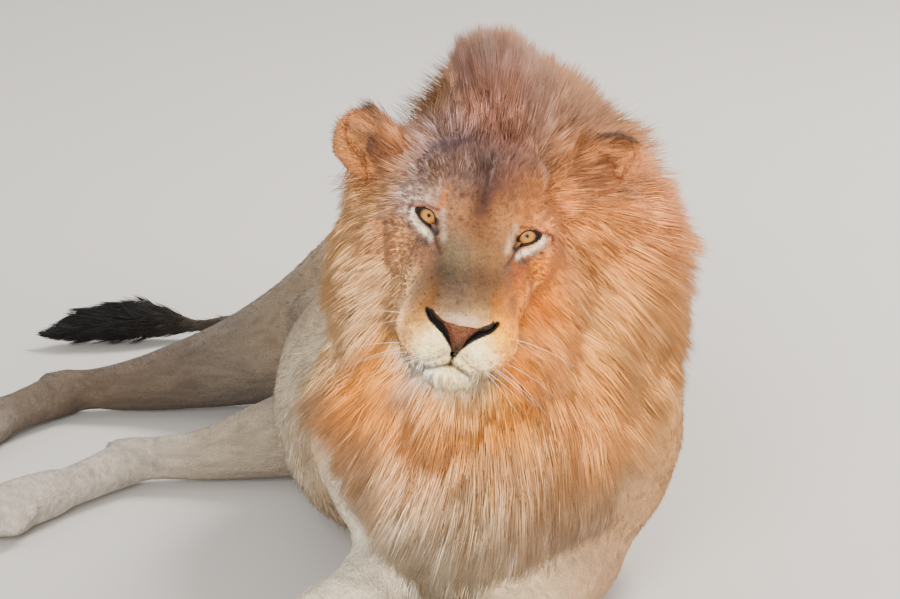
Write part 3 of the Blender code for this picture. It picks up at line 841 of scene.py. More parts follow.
# %% A helper for node materials
class Wire:
    """A socket in a material that can be used in sums."""

    def __init__(self, tree, socket):
        self.tree = tree
        self.socket = socket

    @staticmethod
    def make(tree, kind, settings=None, sockets=None, output=0):
        """Adds a node, makes its settings, then fills its sockets with values or wires."""
        made = tree.nodes.new(kind)
        for key, value in (settings or {}).items():
            if key == "stops":
                ramp = made.color_ramp
                while len(ramp.elements) < len(value):
                    ramp.elements.new(0.5)
                for element, (position, colour) in zip(ramp.elements, value):
                    element.position = position
                    element.color = colour
            else:
                setattr(made, key, value)
        for key, value in (sockets or {}).items():
            if isinstance(value, Wire):
                tree.links.new(value.socket, made.inputs[key])
            else:
                made.inputs[key].default_value = value
        return Wire(tree, made.outputs[output])

    def maths(self, operation, first, second):
        return Wire.make(self.tree, "ShaderNodeMath", {"operation": operation}, {0: first, 1: second})

    def feed(self, shader, socket):
        self.tree.links.new(self.socket, shader.inputs[socket])

    def __add__(self, other):
        return self.maths("ADD", self, other)

    def __mul__(self, other):
        return self.maths("MULTIPLY", self, other)

    def __sub__(self, other):
        return self.maths("SUBTRACT", self, other)

    def __rsub__(self, other):
        return self.maths("SUBTRACT", other, self)

    __radd__ = __add__
    __rmul__ = __mul__


def finish(name, **constants):
    """A new Principled material with its constant sockets set; returns (material, tree, shader)."""
    material = bpy.data.materials.new(name)
    material.use_nodes = True
    shader = material.node_tree.nodes["Principled BSDF"]
    for key, value in constants.items():
        shader.inputs[key.replace("_", " ")].default_value = value
    return material, material.node_tree, shader


def place(tree):
    return Wire.make(tree, "ShaderNodeTexCoord", output="Object")


def stored_colour(tree):
    """The colour that each point of the piece stores."""
    return Wire.make(tree, "ShaderNodeAttribute", {"attribute_name": "coat"})


def tinted(tree, colour, by, amount):
    """The colour made lighter or darker where a 0 to 1 pattern is above or below a half."""
    shift = by * (2 * amount) + (1 - amount)
    grey = Wire.make(tree, "ShaderNodeCombineColor", {}, {0: shift, 1: shift, 2: shift})
    mix = {"data_type": "RGBA", "blend_type": "MULTIPLY", "clamp_result": False}
    return Wire.make(tree, "ShaderNodeMix", mix, {0: 1.0, 6: colour, 7: grey}, output=2)


def noise(tree, scale, detail=3.0, stretch=(1, 1, 1)):
    scaled = Wire.make(tree, "ShaderNodeMapping", {}, {"Vector": place(tree), "Scale": stretch})
    return Wire.make(tree, "ShaderNodeTexNoise", {}, {"Vector": scaled, "Scale": scale, "Detail": detail})


def bumpy(tree, shader, height, strength, distance):
    """Lets a pattern stand out of the surface by a distance in metres."""
    sockets = {"Height": height, "Strength": strength, "Distance": distance}
    Wire.make(tree, "ShaderNodeBump", {}, sockets).feed(shader, "Normal")


# %% The skin under the coat
sheen = {"Sheen_Weight": 0.05, "Sheen_Roughness": 0.5}
coat_under, tree, shader = finish("coat_under", Roughness=0.85, Specular_IOR_Level=0.12, **sheen)
mottled = tinted(tree, stored_colour(tree), noise(tree, 26.0), 0.10)
fine_fur = noise(tree, 520.0, 4.0, (1, 0.25, 1))
tufted_fur = noise(tree, 120.0, 3.0, (1, 0.4, 1))
tinted(tree, mottled, fine_fur, 0.30).feed(shader, "Base Color")
bumpy(tree, shader, fine_fur + tufted_fur * 1.4, 1.0, 0.003)
skin.data.materials.append(coat_under)
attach(skin, "root")
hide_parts(*FLESH)

# %% [markdown]
# ## An unwrap for the coat
# Every tuft has a tiny patch of the unwrap at its root's place on the unwrapped skin, so the
# skin is unwrapped once, by its own shape.

# %% Unwrap the skin
select_only(skin)
bpy.ops.object.mode_set(mode="EDIT")
bpy.ops.mesh.select_all(action="SELECT")
bpy.ops.uv.smart_project(angle_limit=math.radians(66), island_margin=0.0, rotate_method="AXIS_ALIGNED")
bpy.ops.object.mode_set(mode="OBJECT")
skin.data.uv_layers.active.name = "OFBake"
print("the skin is unwrapped into the map", skin.data.uv_layers.active.name)

# %% [markdown]
# ## The lie of the coat
# Hair follows streams over the body: back over the skull, out from the cheeks, down the chest, along
# each leg. A few named places say which way the hair points there, and the directions blend between
# them.

# %% Set out the streams
FACE_STREAMS = [  # (place in the head's axes, reach in mm, direction in the head's axes)
    ((0, 150, -30), 22, (0, -0.9, 0.45)),
    ((0, 70, 10), 30, (0, -0.9, 0.4)),
    ((0, 0, 45), 30, (0, -0.7, 0.7)),
    ((0, -60, 88), 40, (0, -0.35, 0.95)),
    ((45, -40, 70), 30, (0.4, -0.6, 0.7)),
    ((75, 10, 22), 26, (0.8, -0.6, 0.2)),
    ((85, -20, -20), 26, (0.85, -0.45, -0.3)),
    ((50, 50, -40), 24, (0.6, -0.7, -0.35)),
    ((56, 100, -55), 20, (0.5, -0.75, -0.45)),
    ((34, 160, -75), 20, (0.75, -0.5, -0.5)),
    ((14, 168, -88), 14, (0.6, -0.2, -0.8)),
    ((0, 145, -125), 20, (0, -0.1, -1.0)),
    ((30, 120, -150), 24, (0.2, -0.3, -0.95)),
    ((66, 20, -110), 34, (0.4, -0.4, -0.85)),
    ((100, -60, 20), 34, (0.95, -0.2, 0.1)),
    ((112, -90, 56), 26, (0.85, -0.05, 0.5)),
    ((100, -60, -60), 40, (0.75, -0.15, -0.65)),
]
BODY_STREAMS = [  # (place in metres, reach, direction)
    ((0.02, -0.01, 0.62), 0.05, (-0.12, 0.2, 1.0)),
    ((0.02, 0.09, 0.66), 0.06, (-0.15, 0.75, 0.6)),
    ((-0.06, 0.04, 0.60), 0.05, (-0.35, 0.15, 1.0)),
    ((0.10, 0.06, 0.60), 0.05, (0.45, 0.45, 0.7)),
    ((0.18, 0.08, 0.53), 0.05, (0.8, 0.5, 0.15)),
    ((0.22, 0.06, 0.44), 0.06, (0.8, 0.45, -0.4)),
    ((0.12, -0.04, 0.46), 0.05, (0.9, 0.1, -0.2)),
    ((0.12, -0.06, 0.38), 0.05, (0.55, -0.05, -0.85)),
    ((0.20, 0.02, 0.35), 0.06, (0.35, 0.2, -0.9)),
    ((-0.11, -0.02, 0.46), 0.05, (-0.55, 0.15, -0.75)),
    ((-0.16, 0.04, 0.42), 0.06, (-0.4, 0.4, -0.85)),
    ((-0.10, -0.05, 0.36), 0.05, (-0.5, 0.0, -0.9)),
    ((0.00, -0.12, 0.32), 0.05, (-0.05, -0.2, -0.95)),
    ((0.02, -0.16, 0.24), 0.06, (-0.05, -0.05, -1.0)),
    ((-0.10, -0.10, 0.26), 0.05, (-0.6, 0.1, -0.75)),
    ((-0.15, 0.00, 0.26), 0.06, (-0.75, 0.45, -0.5)),
    ((-0.10, -0.08, 0.15), 0.06, (-0.3, 0.1, -0.95)),
    ((0.12, -0.10, 0.25), 0.05, (0.1, -0.05, -1.0)),
    ((0.15, -0.05, 0.14), 0.06, (0.0, 0.1, -0.95)),
    ((0.02, -0.12, 0.10), 0.06, (-0.05, -0.1, -1.0)),
    ((0.02, 0.28, 0.54), 0.10, (0.0, 0.95, -0.35)),
    ((0.15, 0.25, 0.45), 0.09, (0.45, 0.7, -0.55)),
    ((-0.12, 0.25, 0.45), 0.09, (-0.45, 0.7, -0.55)),
    ((-0.20, 0.12, 0.22), 0.09, (0.25, -0.3, -0.9)),
    ((0.22, 0.15, 0.22), 0.09, (0.2, 0.6, -0.75)),
    ((0.05, 0.60, 0.42), 0.20, (0.05, 1.0, -0.2)),
    ((0.20, 0.60, 0.20), 0.16, (0.0, 0.85, -0.5)),
    ((-0.20, 0.50, 0.20), 0.14, (-0.1, 0.85, -0.45)),
    ((0.12, 1.05, 0.25), 0.14, (0.1, 0.6, -0.8)),
    ((-0.10, 0.85, 0.28), 0.10, (-0.8, 0.25, -0.5)),
    ((-0.35, 0.83, 0.08), 0.14, (-1.0, 0.0, -0.15)),
    ((-0.60, 0.70, 0.04), 0.12, (-0.5, -0.85, 0.0)),
    ((-0.25, 0.54, 0.08), 0.12, (-1.0, 0.05, -0.1)),
    ((-0.50, 0.42, 0.04), 0.12, (-0.6, -0.8, 0.0)),
    ((0.18, 0.05, 0.20), 0.07, (0.1, 0.15, -1.0)),
    ((0.06, -0.08, 0.07), 0.10, (-0.4, -0.9, -0.1)),
    ((-0.06, -0.38, 0.05), 0.12, (-0.35, -0.95, -0.1)),
    ((-0.13, -0.08, 0.07), 0.10, (-0.45, -0.85, -0.1)),
    ((-0.27, -0.36, 0.05), 0.12, (-0.4, -0.9, -0.1)),
    ((0.10, 1.15, 0.06), 0.08, (-0.5, 0.7, -0.4)),
    ((-0.10, 1.20, 0.03), 0.10, (-1.0, 0.0, 0.0)),
    ((-0.45, 1.13, 0.03), 0.14, (-1.0, -0.12, 0.0)),
]


# %% Blend the streams
def stream_at(points, normals):
    """Which way the coat lies at each point, flat on the skin."""
    face_streams = mirrored(FACE_STREAMS, turn=True)
    flow = blend_places((points, BODY_STREAMS, 1.0), (in_head(points), face_streams, 5.0))
    flow -= normals * np.sum(flow * normals, axis=1)[:, None]
    flow = unit(flow) + 0.25 * wander(points, 0.06) + 0.12 * wander(points, 0.018)
    return unit(flow - normals * np.sum(flow * normals, axis=1)[:, None])


# %% [markdown]
# Each tuft is a closed, three-sided, curved and tapered strand. Its root is a random place on the skin,
# drawn more often where the coat is thick. Long hair gathers in locks: every strand is drawn towards
# the tip of the lock it belongs to.

# %% Scatter roots
skin.data.calc_loop_triangles()
triangle_count = len(skin.data.loop_triangles)
triangles = np.empty(triangle_count * 3, dtype=np.int32)
skin.data.loop_triangles.foreach_get("vertices", triangles)
triangles = triangles.reshape(-1, 3)
triangle_loops = np.empty(triangle_count * 3, dtype=np.int32)
skin.data.loop_triangles.foreach_get("loops", triangle_loops)
triangle_loops = triangle_loops.reshape(-1, 3)
skin_uv = np.empty(len(skin.data.loops) * 2, dtype=np.float32)
skin.data.uv_layers["OFBake"].data.foreach_get("uv", skin_uv)
skin_uv = skin_uv.reshape(-1, 2).astype(float)
skin_normals = points_of(skin, "normal")
edge_one = skin_points[triangles[:, 1]] - skin_points[triangles[:, 0]]
edge_two = skin_points[triangles[:, 2]] - skin_points[triangles[:, 0]]
triangle_area = np.linalg.norm(np.cross(edge_one, edge_two), axis=1) / 2
print("the skin covers", round(float(triangle_area.sum()), 2), "square metres")


def blend_corners(values, index, mix):
    corners = values[index]
    return np.einsum("ij,ijk->ik", mix, corners.reshape(len(mix), 3, -1))


def scatter(count, density):
    """Random roots, drawn by a density at each skin point: place, normal, uv and nearest skin point."""
    chances = triangle_area * density[triangles].mean(axis=1)
    chosen = chance.choice(triangle_count, count, p=chances / chances.sum())
    a, b = chance.random((2, count))
    flip = a + b > 1
    a[flip], b[flip] = 1 - a[flip], 1 - b[flip]
    mix = np.column_stack([1 - a - b, a, b])
    normal = blend_corners(skin_normals, triangles[chosen], mix)
    return {
        "at": blend_corners(skin_points, triangles[chosen], mix),
        "normal": normal / np.linalg.norm(normal, axis=1)[:, None],
        "uv": blend_corners(skin_uv, triangle_loops[chosen], mix),
        "skin": triangles[chosen, 0],
    }


# %% Grow tufts
TUFT_PATCH = 0.003  # how wide a tuft's patch is on the unwrap
ABOVE_FLOOR = 0.002
SMALL_LOCK_PULL = 0.6
LARGE_LOCK_PULL = 0.35
LOCK_SHADE = 0.30  # how much one lock differs from the next in brightness


def locks(roots, tips, per_lock, pull):
    """Draws each strand's tip towards the tip of its lock; returns the tips and the locks."""
    count = len(roots)
    leaders = chance.choice(count, max(1, count // per_lock), replace=False)
    tree = KDTree(len(leaders))
    for number, leader in enumerate(leaders):
        tree.insert(Vector(roots[leader]), number)
    tree.balance()
    lock = np.array([leaders[tree.find(Vector(root))[1]] for root in roots])
    towards = tips[lock] + (roots - roots[lock]) * 0.15
    return tips + (towards - tips) * pull, lock


def grow(name, roots, length, width, lift, droop, colours, tip_colours, stations, small_lock, large_lock):
    """A coat piece: one closed strand for each root, as one mesh. stations are its rings' places, 0 to 1."""
    count = len(length)
    at, normal = roots["at"], roots["normal"]
    start = unit(stream_at(at, normal) + chance.normal(0, 0.09, (count, 3)))
    start = unit(start * np.cos(lift)[:, None] + normal * np.sin(lift)[:, None])
    root = at - normal * (0.001 + 0.02 * length)[:, None]
    bend = root + start * (length * 0.5)[:, None]
    onward = unit(start - normal * (np.sin(lift) * 0.8)[:, None] - np.array([0, 0, 1.0]) * droop)
    tip = bend + onward * (length * 0.5)[:, None]
    if small_lock:
        tip, lock = locks(root, tip, small_lock, SMALL_LOCK_PULL)
        shade_of_lock = np.exp(chance.normal(0, LOCK_SHADE, count))[lock][:, None] ** [0.8, 1.0, 1.3]
        colours, tip_colours = colours * shade_of_lock, tip_colours * shade_of_lock
    if large_lock:
        tip, _ = locks(root, tip, large_lock, LARGE_LOCK_PULL)
    side = unit(np.cross(tip - root, normal))
    rings = []
    for t in stations:
        centre = (1 - t) ** 2 * root + 2 * t * (1 - t) * bend + t**2 * tip
        half = (width * 0.5 * (1 - t**2.2))[:, None]
        deep = unit(np.cross(side, tip - root)) * half * 0.8
        rings += [centre - side * half - deep * 0.5, centre + side * half - deep * 0.5, centre + deep]
    rings.append(tip)
    corners = np.stack(rings, axis=1)
    corners[:, :, 2] = np.maximum(corners[:, :, 2], ABOVE_FLOOR)
    per_strand = corners.shape[1]
    last = per_strand - 1
    faces = [[0, 1, 2]]
    for ring in range(len(stations) - 1):
        for k in range(3):
            here, there = 3 * ring + k, 3 * ring + (k + 1) % 3
            faces.append([here, here + 3, there + 3, there])
    top = 3 * (len(stations) - 1)
    faces += [[top + k, last, top + (k + 1) % 3] for k in range(3)]
    sizes = np.tile([len(face) for face in faces], count)
    pattern = np.concatenate(faces)
    loops = (np.arange(count)[:, None] * per_strand + pattern).ravel()
    mesh = bpy.data.meshes.new(name)
    mesh.vertices.add(count * per_strand)
    mesh.vertices.foreach_set("co", corners.astype(np.float32).ravel())
    mesh.loops.add(len(loops))
    mesh.loops.foreach_set("vertex_index", loops.astype(np.int32))
    mesh.polygons.add(len(sizes))
    mesh.polygons.foreach_set("loop_start", np.concatenate([[0], np.cumsum(sizes)[:-1]]).astype(np.int32))
    mesh.polygons.foreach_set("use_smooth", np.ones(len(sizes), dtype=bool))
    mesh.update(calc_edges=True)
    piece = bpy.data.objects.new(name, mesh)
    bpy.context.scene.collection.objects.link(piece)
    along = np.array([t for t in stations for _ in range(3)] + [1.0])
    across = np.array([0.0, 1.0, 0.5] * len(stations) + [0.5])
    shade = colours[:, None] * (1 - along[:, None]) + tip_colours[:, None] * along[:, None]
    store_colour(piece, within_white(shade).reshape(-1, 3))
    patch = np.column_stack([across - 0.5, along - 0.5]) * TUFT_PATCH
    uv = (roots["uv"][:, None] + patch[pattern]).reshape(-1, 2)
    mesh.uv_layers.new(name="OFBake")
    mesh.uv_layers["OFBake"].data.foreach_set("uv", uv.astype(np.float32).ravel())
    mesh.materials.append(coat_hair)
    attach(piece, "root")
    print(name, count, "tufts,", count * (4 + 6 * (len(stations) - 1)), "triangles")
    return piece


coat_hair, tree, shader = finish("coat_hair", Roughness=0.6, Sheen_Weight=0.05, Specular_IOR_Level=0.2)
tinted(tree, stored_colour(tree), noise(tree, 90.0), 0.14).feed(shader, "Base Color")

# %% [markdown]
# ## The coat, region by region
# The mane is the lion's longest hair: a crest that stands up over the skull, ruffs that sweep out from
# the cheeks, a nape that lies back over the shoulders, and a bib that hangs down the chest in locks.
# Elsewhere the fur is short and lies flat: most of it is the skin's own bump, and small tufts break the
# outline. They are smallest on the face and the paws.

# %% Grow the coat
COAT = [
    # name, solids, tufts, slot, thickness, lift in degrees, droop, rings, strands in a small and a large lock
    ("mane_crest", ("mane_crown",), 11000, "brown_mane", 0.8, 53, 0.0, (0.0, 0.5), 14, 0),
    ("mane_crest_fine", ("mane_crown",), 17000, "brown_mane", 0.75, 51, 0.0, (0.0,), 0, 0),
    ("mane_nape_hair", ("mane_nape",), 6000, "brown_mane", 1.4, 25, 0.10, (0.0, 0.5), 12, 80),
    ("mane_nape_fine", ("mane_nape",), 7000, "brown_mane", 1.4, 22, 0.10, (0.0,), 20, 0),
    ("mane_ruff_left_hair", ("mane_ruff_left",), 12500, "gold_mane", 0.85, 27, 0.10, (0.0, 0.5), 12, 90),
    ("mane_ruff_left_fine", ("mane_ruff_left",), 13500, "gold_mane", 0.9, 24, 0.10, (0.0,), 20, 0),
    ("mane_ruff_right_hair", ("mane_ruff_right",), 12000, "gold_mane", 0.85, 27, 0.10, (0.0, 0.5), 12, 90),
    ("mane_ruff_right_fine", ("mane_ruff_right",), 13000, "gold_mane", 0.9, 24, 0.10, (0.0,), 20, 0),
    ("mane_bib_left_hair", ("mane_bib",), 9500, "gold_mane", 0.9, 22, 0.08, (0.0, 0.5), 12, 90),
    ("mane_bib_left_fine", ("mane_bib",), 11000, "gold_mane", 0.9, 19, 0.08, (0.0,), 20, 0),
    ("mane_bib_right_hair", ("mane_bib",), 9500, "gold_mane", 0.9, 22, 0.06, (0.0, 0.5), 12, 90),
    ("mane_bib_right_fine", ("mane_bib",), 11000, "gold_mane", 0.9, 19, 0.06, (0.0,), 20, 0),
    ("coat_face", ("head", "jaw"), 45000, "tawny_coat", 1.0, 24, 0.0, (0.0,), 9, 0),
    ("coat_cheeks", ("head", "jaw"), 7000, "tawny_coat", 0.9, 28, 0.04, (0.0, 0.5), 10, 60),
    ("coat_cheeks_fine", ("head", "jaw"), 9000, "tawny_coat", 0.9, 24, 0.04, (0.0,), 16, 0),
    ("coat_ears", ("ear",), 5000, "tawny_coat", 0.9, 24, 0.0, (0.0,), 0, 0),
    ("coat_ear_tufts", ("ear",), 3500, "tawny_coat", 0.9, 26, 0.0, (0.0, 0.5), 12, 0),
    ("coat_shoulders", ("upper_arm", "chest"), 4200, "tawny_coat", 1.0, 14, 0.0, (0.0, 0.5), 10, 0),
    ("coat_shoulders_fine", ("upper_arm", "chest"), 12000, "tawny_coat", 1.1, 12, 0.0, (0.0,), 0, 0),
    ("coat_trunk", ("belly", "rump", "thigh"), 20000, "tawny_coat", 1.5, 15, 0.0, (0.0,), 0, 0),
    ("coat_legs", ("shank", "forearm"), 10000, "tawny_coat", 1.2, 12, 0.0, (0.0,), 0, 0),
    ("coat_paws", ("fore_paw", "hind_foot"), 5000, "pale_coat", 1.1, 14, 0.0, (0.0,), 0, 0),
    ("coat_tail", ("tail_base", "tail_end"), 2500, "tawny_coat", 1.5, 12, 0.0, (0.0,), 0, 0),
    ("coat_tail_tuft", ("tail_tuft",), 2200, "black_tuft", 1.2, 12, 0.0, (0.0, 0.5), 16, 0),
]
EAR_LENGTHS = {"coat_ears": 0.014, "coat_ear_tufts": 0.042}
LONGEST_ON_ARM = 0.015
BARE_EDGE = 1.8  # mm of bare skin round the eyes, the nose and the lips


def brightness(count, spread_by):
    return np.exp(chance.normal(0, spread_by, count))[:, None]


def marked_colour(points, labels_here):
    near = points + chance.normal(0, 0.0009, points.shape)
    return face_marks(near, ear_mark(near, coat_colour(near), labels_here))


def clear_of_face(points):
    """0 where hair would start on the eyes, the nose or the lips, 1 elsewhere."""
    plane, forward = face_plane(points)
    keep = np.ones(len(points))
    for loop in (nose_loop(), eye_loop(1), eye_loop(-1)):
        near = rim_distance(plane, loop) < BARE_EDGE
        keep[(inside_loop(plane, loop) | near) & (forward > -20)] = 0
    for line in two_sided(MOUTH) + two_sided(PHILTRUM):
        keep[(line_distance(plane, line) < BARE_EDGE) & (forward > 0)] = 0
    return keep


bare_places = clear_of_face(skin_points)


# %% Grow one piece
CREST_OVERLAP = 14  # how many points further than its own solid the crest is rooted
OVERLAP = 2
BIB_SPLIT = 0.01  # metres to the lion's left of the middle
EAR_MIDDLE = np.array([0, -88, 46])  # mm, in the head's axes
EAR_RADIUS = 38
EAR_SPREAD = 102
EAR_HALF_WIDTH = 19


def grow_coat(name, parts, count, slot, thickness, lift, droop, stations, small_lock, large_lock):
    overlap = CREST_OVERLAP if name.startswith("mane_crest") else OVERLAP
    density = spread(belongs(labels, *parts), skin_edges, overlap) * bare_places
    if name.startswith("mane_bib"):
        density *= (skin_points[:, 0] > BIB_SPLIT) == ("left" in name)
    if name == "coat_face":
        density *= 1 + 2 * (in_head(skin_points)[:, 1] > -40)
    if name.startswith("coat_cheeks"):
        density *= np.clip((hair_length - 0.011) / 0.012, 0, 1)
    if name == "coat_ear_tufts":
        from_ears = np.linalg.norm((in_head(skin_points) - EAR_MIDDLE) * [0, 1, 1], axis=1)
        density = (from_ears < EAR_RADIUS).astype(float)
        density *= np.abs(np.abs(in_head(skin_points)[:, 0]) - EAR_SPREAD) < EAR_HALF_WIDTH
        density *= skin_normals @ head_forward > 0.1
    roots = scatter(count, density)
    if {"head", "jaw"} & set(parts):
        kept = clear_of_face(roots["at"]) > 0
        roots = {key: values[kept] for key, values in roots.items()}
    at = roots["at"]
    count = len(at)
    length = hair_length[roots["skin"]]
    if name in EAR_LENGTHS:
        length = np.full(count, EAR_LENGTHS[name])
    on_arm = belongs(labels[roots["skin"]], "upper_arm", "forearm", "fore_paw") > 0
    length = np.where(on_arm, np.minimum(length, LONGEST_ON_ARM), length)
    length = length * (0.70 + 0.45 * chance.random(count))
    flow = stream_at(at, roots["normal"]) * length[:, None]
    base, ahead = [marked_colour(at + flow * share, labels[roots["skin"]]) for share in (0.15, 0.75)]
    patchy = 1 + 0.35 * wander(at, 0.03)[:, 1:2]
    base, ahead = base * patchy, ahead * patchy
    # Long hair is darker at the root, painted shade deep in the coat, and paler at the tip, the hair's own
    # lighter tips.
    long_hair_share = np.clip(length / 0.06, 0, 1)[:, None]
    varied = 0.22 if name.startswith(("coat_face", "mane")) else 0.16
    colours = base * brightness(count, varied) * (0.94 - 0.22 * long_hair_share)
    tips = ahead * brightness(count, varied) * (1.06 + 0.12 * long_hair_share)
    width = np.interp(length, [0.005, 0.02, 0.10], [0.0008, 0.0010, 0.0015]) * thickness
    width *= 0.7 + 0.6 * chance.random(count)
    if parts == ("head", "jaw"):  # towards the crest the hair stands up
        head = in_head(at)
        upright = np.clip((head[:, 2] - 66) / 26, 0, 1) * np.clip((80 - np.abs(head[:, 0])) / 20, 0, 1)
        lift = lift + (50 - lift) * upright
    angle = np.radians(lift + chance.normal(0, 6, count))
    grown = grow(name, roots, length, width, angle, droop, colours, tips, stations, small_lock, large_lock)
    return grown


# %% Grow every piece
coat_pieces = [grow_coat(*row) for row in COAT]
coat_points = sum(len(piece.data.vertices) for piece in coat_pieces)
print("the coat has", len(coat_pieces), "pieces and", coat_points, "points")

# %% [markdown]
# ## Eyes
# A lion's eye is an amber iris round a small round pupil, with a dark ring at its rim and almost no
# white. Each eyeball is a fine ball turned so that it looks ahead, and each of its points stores how
# far it is from the line of sight, which the finish reads. The black rim of the lids is a thin tube
# laid on the ball, thickest under it.

# %% Make the eyes
IRIS_RADIUS = 9.2 * MM
GAZE = (19.5, 1.2, 1.9)  # each eye looks this far ahead, inward and up
CORNEA = 0.10  # how much the ball bulges in front of the iris
face_up = np.cross(face_view, head_left)
face_up *= np.sign(face_up[2])

wet = {"Coat_Weight": 0.04, "Coat_Roughness": 0.03}
amber, tree, shader = finish("amber_iris", Roughness=0.4, Specular_IOR_Level=0.05, **wet)
sight = Wire.make(tree, "ShaderNodeAttribute", {"attribute_name": "sight"}, output="Vector")
off_sight = Wire.make(tree, "ShaderNodeSeparateXYZ", {}, {0: sight})
streaky = {"Vector": sight, "Scale": 6.0, "Detail": 4.0}
streaks = Wire.make(tree, "ShaderNodeTexNoise", {"noise_dimensions": "2D"}, streaky)
ring = off_sight + (streaks - 0.5) * 0.06
iris_stops = [
    (0.0, (0.004, 0.003, 0.003, 1)),
    (0.19, (0.004, 0.003, 0.003, 1)),
    (0.22, (0.20, 0.095, 0.022, 1)),
    (0.48, (0.36, 0.155, 0.027, 1)),
    (0.80, (0.25, 0.10, 0.022, 1)),
    (0.93, (0.12, 0.05, 0.02, 1)),
    (1.0, (0.02, 0.012, 0.010, 1)),
]
Wire.make(tree, "ShaderNodeValToRGB", {"stops": iris_stops}, {0: ring}).feed(shader, "Base Color")


def make_eye(side, name):
    centre = EYE_CENTRES[side]
    bpy.ops.object.select_all(action="DESELECT")
    bpy.ops.mesh.primitive_uv_sphere_add(segments=64, ring_count=40, radius=EYE_RADIUS, location=centre)
    eye = bpy.context.active_object
    bpy.ops.object.transform_apply(location=True, rotation=False, scale=False)
    eye.name = name
    ahead = unit((face_view * GAZE[0] - head_left * GAZE[1] * side + face_up * GAZE[2])[None])[0]
    sideways = unit(np.cross([0, 0, 1.0], ahead)[None])[0]
    upward = np.cross(ahead, sideways)
    arm = points_of(eye) - centre
    across, up = arm @ sideways, arm @ upward
    off = np.where(arm @ ahead > 0, np.hypot(across, up) / IRIS_RADIUS, 2.0)
    set_points(eye, centre + arm * (1 + CORNEA * np.exp(-((off / 0.9) ** 4)))[:, None])
    attribute = eye.data.attributes.new("sight", "FLOAT_VECTOR", "POINT")
    store = np.column_stack([np.clip(off, 0, 1), np.arctan2(up, across) * 1.5, np.zeros(len(off))])
    attribute.data.foreach_set("vector", store.astype(np.float32).ravel())
    bpy.ops.object.shade_smooth()
    eye.data.materials.append(amber)
    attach(eye, "root")
    return eye


eyeballs = {1: make_eye(1, "eyeball_left"), -1: make_eye(-1, "eyeball_right")}
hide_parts("eye_left")
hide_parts("eye_right")
print("each eyeball has", len(eyeballs[1].data.polygons), "faces")

# %% Line the lids
black_skin, tree, shader = finish("black_skin", Roughness=0.6, Specular_IOR_Level=0.2)
tinted(tree, (0.005, 0.004, 0.004, 1), noise(tree, 300.0), 0.4).feed(shader, "Base Color")
bumpy(tree, shader, noise(tree, 900.0, 2.0), 0.3, 0.0004)


def tube(name, line, radii, material, closed=False, resolution=3):
    """A round tube through the line's points, with a radius at each, as a plain mesh."""
    curve = bpy.data.curves.new(name, "CURVE")
    curve.dimensions = "3D"
    curve.bevel_depth = 1.0
    curve.bevel_resolution = resolution
    curve.use_fill_caps = not closed
    spline = curve.splines.new("POLY")
    spline.points.add(len(line) - 1)
    for point, spot, radius in zip(spline.points, line, radii):
        point.co = (*spot, 1.0)
        point.radius = radius
    spline.use_cyclic_u = closed
    piece = bpy.data.objects.new(name, curve)
    bpy.context.scene.collection.objects.link(piece)
    select_only(piece)
    bpy.ops.object.convert(target="MESH")
    piece = bpy.context.active_object
    bpy.ops.object.shade_smooth()
    piece.data.materials.clear()
    piece.data.materials.append(material)
    return piece


def lid_line(side):
    """The almond laid on the eyeball."""
    centre = EYE_CENTRES[side]
    spots = []
    for x, z in almond_for(side) * MM:
        reach = EYE_RADIUS + 0.0014
        flat = x * head_left + z * face_up
        spots.append(centre + flat + face_view * math.sqrt(max(reach**2 - flat @ flat, 1e-8)))
    return np.array(spots)


def make_lid(side, name):
    line = lid_line(side)
    heights = almond_for(side)[:, 1]
    radii = np.interp(heights, [-13, -6, 3, 8], [1.3, 1.6, 1.1, 0.9]) * MM
    lid = tube(name, line, radii, black_skin, closed=True)
    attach(lid, "root")


make_lid(1, "lid_rim_left")
make_lid(-1, "lid_rim_right")
print("the almond is", round(float(np.ptp(almond_loop[:, 0])), 1), "mm across")

# %% [markdown]
# ## Nose
# The nose is bare leather with a fine pebbled grain, red-brown in the middle and black round the
# nostrils. The frame's nose solid is remeshed finely and softened. Each of its points stores its
# colour, darker near the nostrils, and the finish adds the grain: cracks between small cells, and a
# finer mottle.

# %% Finish for the nose
leather, tree, shader = finish("nose_leather", Roughness=0.6, Specular_IOR_Level=0.2)
pebbles = {"Vector": place(tree), "Scale": 420.0}
cells = Wire.make(tree, "ShaderNodeTexVoronoi", {"feature": "DISTANCE_TO_EDGE"}, pebbles)
bumpy(tree, shader, cells, 1.0, 0.0012)
pebbled = tinted(tree, stored_colour(tree), cells * 3.0, 0.45)
tinted(tree, pebbled, noise(tree, 260.0), 0.8).feed(shader, "Base Color")

# %% Shape the nose
nose = swollen_copy("nose", 0.0004)
nose.name = "nose_pad"
apply(nose, "REMESH", mode="VOXEL", voxel_size=0.0011)
apply(nose, "SMOOTH", factor=0.5, iterations=6)
nose_points = points_of(nose)
nose_plane, _ = face_plane(nose_points)
leather_edge = nose_loop()
under_fur = ~inside_loop(nose_plane, leather_edge)
gap = rim_distance(nose_plane, leather_edge) * under_fur
set_points(nose, nose_points - face_view * (np.clip(gap - 0.6, 0, 5) * 2.0 * MM)[:, None])
NOSTRIL = [(38, -94), (31, -100.5), (25, -104.5), (19, -108.5), (14, -114)]
LIP_GROOVE = [(0, -127), (0, -150)]
LEATHER = (98, 56, 34)
LEATHER_BLACK = (18, 14, 13)
nose_dark = np.maximum(
    np.exp(-((line_distance(nose_plane, np.array(LIP_GROOVE)) / 3.5) ** 2)),
    0.75 * np.clip((-112 - nose_plane[:, 1]) / 16, 0, 1),
)
wide = np.interp(np.abs(nose_plane[:, 0]), [12, 20, 30, 38], [3.6, 5.0, 6.5, 6.5])
for slit in two_sided(NOSTRIL):
    nose_dark = np.maximum(nose_dark, np.exp(-((line_distance(nose_plane, slit) / wide) ** 4)))
store_colour(nose, laid_over(linear(LEATHER), nose_dark, LEATHER_BLACK))
